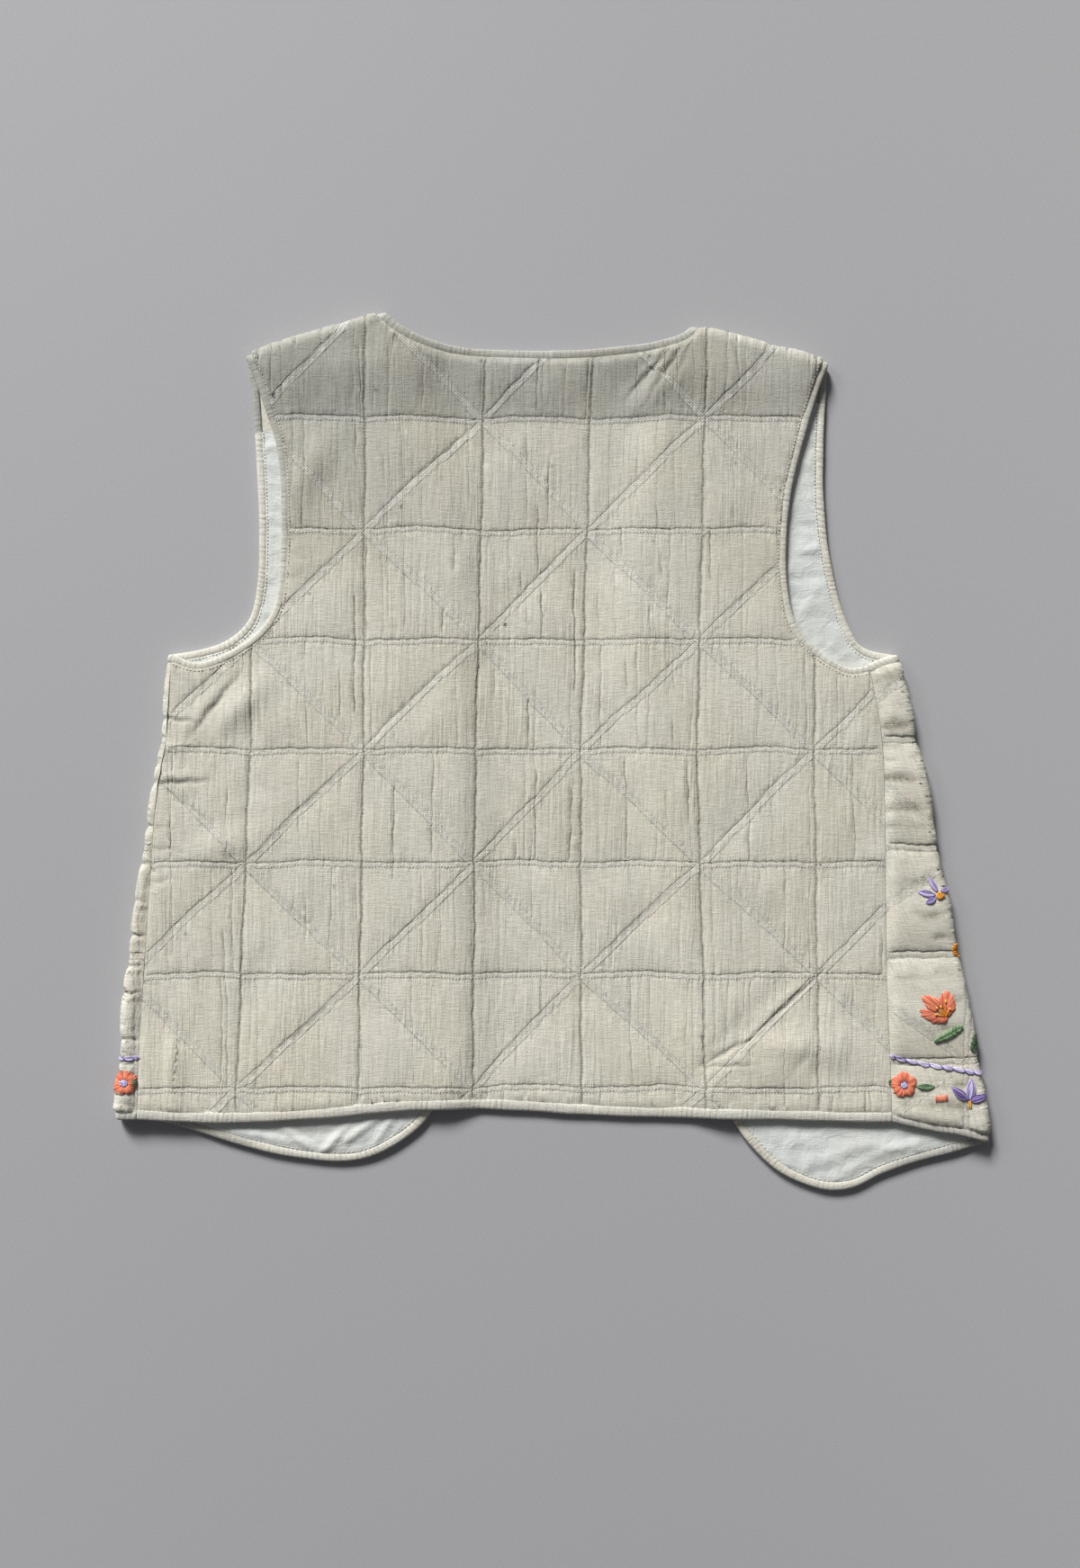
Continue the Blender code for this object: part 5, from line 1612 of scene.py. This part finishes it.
def tulip(coral, orange, ground):
    """Three petals, each a fan from its own base line, and stamens."""
    upper = [(249.1, -169.5), (247.0, -166.8), (245.5, -162.0), (249.1, -161.4), (253.3, -162.0)]
    upper += [(256.6, -163.8)]
    lower = [(247.9, -170.7), (243.7, -171.6), (245.5, -174.6), (248.5, -177.5), (252.7, -179.3)]
    lower += [(257.5, -179.9), (261.1, -179.3), (262.6, -177.5)]
    outer = [(256.9, -163.8), (258.7, -160.2), (261.7, -157.8), (264.7, -159.9), (267.0, -163.2)]
    outer += [(268.2, -166.2), (267.9, -169.8), (265.2, -173.4), (262.9, -175.7)]
    for base, tips in (
        ([(253.9, -172.2), (256.9, -169.8), (259.3, -167.4)], upper),
        ([(253.3, -173.4), (258.1, -175.1), (261.7, -175.7)], lower),
        ([(258.7, -168.6), (260.5, -171.0), (261.7, -174.6)], outer),
    ):
        fan(coral, ground, base, tips, lift=0.2, rise=0.75)
    foot = np.array((260.6, -175.4))
    tips = [(254.2, -174.0), (255.1, -169.4), (257.8, -168.5), (261.1, -164.7), (263.8, -169.8)]
    tips += [(262.3, -172.6)]
    for tip in tips:
        for start in (foot, foot + (0.7, 0.2)):
            satin(orange, ground, start, tip, lift=0.9, rise=0.5, shade=0.12)
        way = tip - foot
        satin(orange, ground, tip - way * 0.14, tip + way * 0.1, width=1.4, lift=1.5, rise=0.4, shade=1.0)


def bell_flower(lavender, violet, orange, ground):
    """Three petals from one foot, edged with dark threads, and stamens."""
    foot = (277.4, -231.4)
    low, right, top = (265.6, -222.2), (287.2, -227.8), (279.0, -216.8)
    petals = ((violet, low, 4.8, 6), (violet, right, 4.4, 6), (lavender, top, 5.6, 7))
    for stitches, tip, width, count in petals:
        lens(stitches, ground, foot, tip, width, threads=count, lift=0.2, rise=0.8)
    for tip, bend in ((low, 0.7), (right, -0.5), (top, 1.6), (top, -1.6)):
        satin(violet, ground, foot, tip, bend=bend, width=0.7, lift=0.55, rise=0.8)
    satin(lavender, ground, foot, low, bend=-0.9, width=0.8, lift=0.5, rise=0.9)
    for start, stop in (((276.9, -231.0), (277.6, -236.9)), ((277.9, -231.0), (278.4, -236.6))):
        satin(orange, ground, start, stop, lift=0.7, shade=0.9)


def star_flower(lavender, violet, orange, ground):
    centre = np.array((257.2, -94.8))
    petals = (((243.1, -92.4), 3.4), ((250.6, -83.0), 2.8), ((248.3, -99.8), 3.2), ((260.2, -90.0), 2.6))
    for tip, width in petals:
        spray(violet, lavender, ground, centre + unit(tip - centre) * 2.4, tip, width)
    knots(orange, ground, centre, 2.4)


def make_embroidery(grounds, coral, lavender, violet, green, deep_green, orange):
    right, left = grounds[RIGHT], grounds[LEFT]
    tulip(coral, orange, right)
    leaf(green, right, (253.9, -192.2), (272.6, -182.2), 6.2, spacing=1.25, width=1.15, lift=0.25, rise=0.8)
    leaf(deep_green, right, (279.6, -199.0), (282.0, -186.6), 5.4)
    # the rope-like line, and the flowers below it
    line = [(225.6, -202.0), (228.6, -202.9), (236.0, -205.0), (243.4, -206.5), (251.5, -208.0)]
    line += [(259.9, -209.2), (267.0, -210.1), (274.8, -211.6), (280.8, -212.5), (286.6, -214.0)]
    rope(lavender, violet, right, line)
    ring_flower(coral, lavender, right, (234.2, -220.9), 8.9, 2.9)
    leaf(deep_green, right, (225.4, -221.6), (225.8, -218.2), 2.4)
    lens(green, right, (242.2, -221.8), (255.1, -222.4), 3.4, threads=5, lift=0.2, rise=0.8)
    for share in np.linspace(0, 1, 9):
        top = np.array((254.8, -228.0)) + np.array((7.5, 0.9)) * share
        satin(coral, right, top, top + (0.6, -4.5), lift=0.2)
    bell_flower(lavender, violet, orange, right)
    # a small flower higher up, and a sprig that goes over the fold
    star_flower(lavender, violet, orange, right)
    leaf(orange, right, (270.0, -136.9), (267.6, -128.0), 4.6)
    # what comes round the other fold
    rope(lavender, violet, left, [(-290.0, -203.4), (-284.4, -203.9), (-278.6, -203.3), (-275.6, -202.6)])
    ring_flower(coral, lavender, left, (-284.0, -219.6), 8.4, 2.5)
    leaf(deep_green, left, (-278.2, -222.4), (-277.4, -217.2), 3.0, lift=0.9)


# ---------------------------------------------------------------------------------------------------------
# The whole waistcoat.


def flat_size(cut):
    """((width, length), area) of a cut piece, in metres."""
    x, y = outline_points(cut).T * MM
    area = abs(np.sum(x * np.roll(y, -1) - y * np.roll(x, -1))) / 2
    return (float(np.ptp(x)), float(np.ptp(y))), float(area)


def ride(piece, slot, *nodes):
    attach(piece, "root")
    if nodes:
        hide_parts(*nodes)
    return piece


# Painted shade: the back's neck and armhole rolls take the back's painted shade, a little lighter.
def roll_on_back(flat):
    return back_tone_and_shade(flat) + 0.06


def roll_on_hem(flat):
    return 0.78 + 0.06 * np.sin(flat[:, 0] * 0.07)


def roll_on_front(flat):
    """White, but greyed with painted shadow where the strip's hem shades a front's roll."""
    x, y = flat.T
    hidden = smoothstep((np.where(x < 0, -190, 218) - x) * np.where(x < 0, 1, -1) / 18) * (y < -240)
    return 1.0 - 0.6 * hidden


def make_bindings(edges, fronts, back_height, material, seams):
    """The rolls round every free edge, and the stitches beside them."""
    back = back_outline(edges, 0.5)

    def add(name, rolled, closed=False):
        ride(make_tube(name + "_cloth", rolled, closed, material), "binding_cotton", name)

    hem_roll = Roll(BACK_ROLLS["hem"], BINDING_THICKNESS, 0.035, 1.1, 0.0, roll_on_hem)
    neck_roll = Roll(BACK_ROLLS["neck"], BINDING_THICKNESS, 0.014, 0.6, 1.0, roll_on_back)
    for name, roll in (("hem", hem_roll), ("neck", neck_roll)):
        add(name + "_binding", binding_rings(spaced(back[name], BINDING_STEP), lay_back, 1, roll))
    over_roll = Roll(BACK_ROLLS["armhole"], ARMHOLE_THICKNESS, 0.014, 0.5, 2.0, roll_on_back)
    under_roll = Roll(FRONT_ROLLS["armhole"], BINDING_THICKNESS, 0.13, 1.6, 3.0, roll_on_front)
    for half in HALVES:
        front = front_outline(half, fronts[half], 0.5)
        line = spaced(front["edge"], BINDING_STEP)
        roll = Roll(FRONT_ROLLS["edge"], BINDING_THICKNESS, 0.055, 1.1 * half.sign, 1.0, roll_on_front)
        add("edge_binding_" + half.name, binding_rings(line, lay_front, -1, roll))
        over = spaced(back["armhole_" + half.name], BINDING_STEP)
        under = spaced(front["armhole"], BINDING_STEP)
        over_rolled = binding_rings(over, lay_back, 1, over_roll)
        under_rolled = binding_rings(under, lay_front, -1, under_roll)
        rolled = joined_rings(over_rolled, [part[::-1] for part in under_rolled])
        add("armhole_binding_" + half.name, rolled, True)
        topstitch(seams, over, lay_back, -over_roll.width / 2 - STITCH_GAP, 0.0, back_height)
        topstitch(seams, under, lay_front, -under_roll.width / 2 - STITCH_GAP, 1.9, width=0.65)
        topstitch(seams, line, lay_front, -roll.width / 2 - STITCH_GAP, 1.75, pitch=3.2, width=0.5)
    ride(seams.made(), "binding_cotton")


def main():
    quilted = cloth_material("quilted_cotton", pleats=0.40)
    bound = cloth_material("binding_cotton", banded=False, pleats=0.3)
    smooth = cloth_material("lining_cotton", slub=0.8, banded=False, crush=0.4)
    sewing = thread_material("sewing_thread", (196, 192, 178), (240, 238, 228))
    edges = back_edges()
    fronts = {half: front_edges(half) for half in HALVES}
    back, back_height = make_back(edges, quilted)
    ride(back, "quilted_cotton", "back_panel")
    panels, linings, grounds = {}, {}, {}
    for half in HALVES:
        made, height = make_front(half, fronts[half], quilted)
        panels[half] = ride(made, "quilted_cotton", "front_" + half.name)
        grounds[half] = Ground(half, height)
        made = make_lining(half, fronts[half], smooth)
        linings[half] = ride(made, "lining_cotton", "lining_" + half.name)
    make_bindings(edges, fronts, back_height, bound, Stitches("seam_stitches", sewing, 90))

    colours = {}
    for seed, (name, (dark, light)) in enumerate(THREADS.items(), 40):
        colours[name] = Stitches("embroidery_" + name, thread_material(name + "_thread", dark, light), seed)
    make_embroidery(grounds, **colours)
    for stitches in colours.values():
        ride(stitches.made(), "quilted_cotton")

    cut, area = flat_size(back_outline(edges, 1, OVERLAP))
    for half in HALVES:
        cut, area = flat_size(front_outline(half, fronts[half], 1, OVERLAP))
        cut, area = flat_size(lining_outline(half, fronts[half]))
    make_stage()


# ---------------------------------------------------------------------------------------------------------
# Floor, light and camera. Places of the lights and the camera are in metres.


def make_stage():
    corners = [(-FLOOR, -FLOOR, -0.2), (FLOOR, -FLOOR, -0.2), (FLOOR, FLOOR, -0.2), (-FLOOR, FLOOR, -0.2)]
    floor = add_mesh("backdrop", corners, [(0, 1, 2, 3)], floor_material())

    world = bpy.data.worlds.new("studio")
    world.use_nodes = True
    sky = world.node_tree.nodes["Background"].inputs
    sky["Color"].default_value = (0.97, 0.97, 1.0, 1.0)
    sky["Strength"].default_value = 0.10
    bpy.context.scene.world = world

    add_light("SUN", (-0.9, 2.13, 1.2), 4.25, angle=math.radians(16))
    add_light("AREA", (-1.2, 1.1, 0.95), 7.0, size=0.5)

    camera = bpy.data.cameras.new("camera")
    camera.lens = 29.26
    viewer = bpy.data.objects.new("camera", camera)
    viewer.location = (-0.0078, -0.0207, 0.858)
    bpy.context.scene.collection.objects.link(viewer)
    bpy.context.scene.camera = viewer
    bpy.context.scene.view_settings.view_transform = "Standard"


def add_light(kind, place, power, **settings):
    """A light that shines from a place towards the middle of the floor."""
    light = bpy.data.lights.new("light_" + kind.lower(), kind)
    light.energy = power
    light.color = (1.0, 0.985, 0.955)
    for key, value in settings.items():
        setattr(light, key, value)
    lamp = bpy.data.objects.new(light.name, light)
    lamp.location = place
    lamp.rotation_euler = (-Vector(place)).to_track_quat("-Z", "Y").to_euler()
    bpy.context.scene.collection.objects.link(lamp)


main()
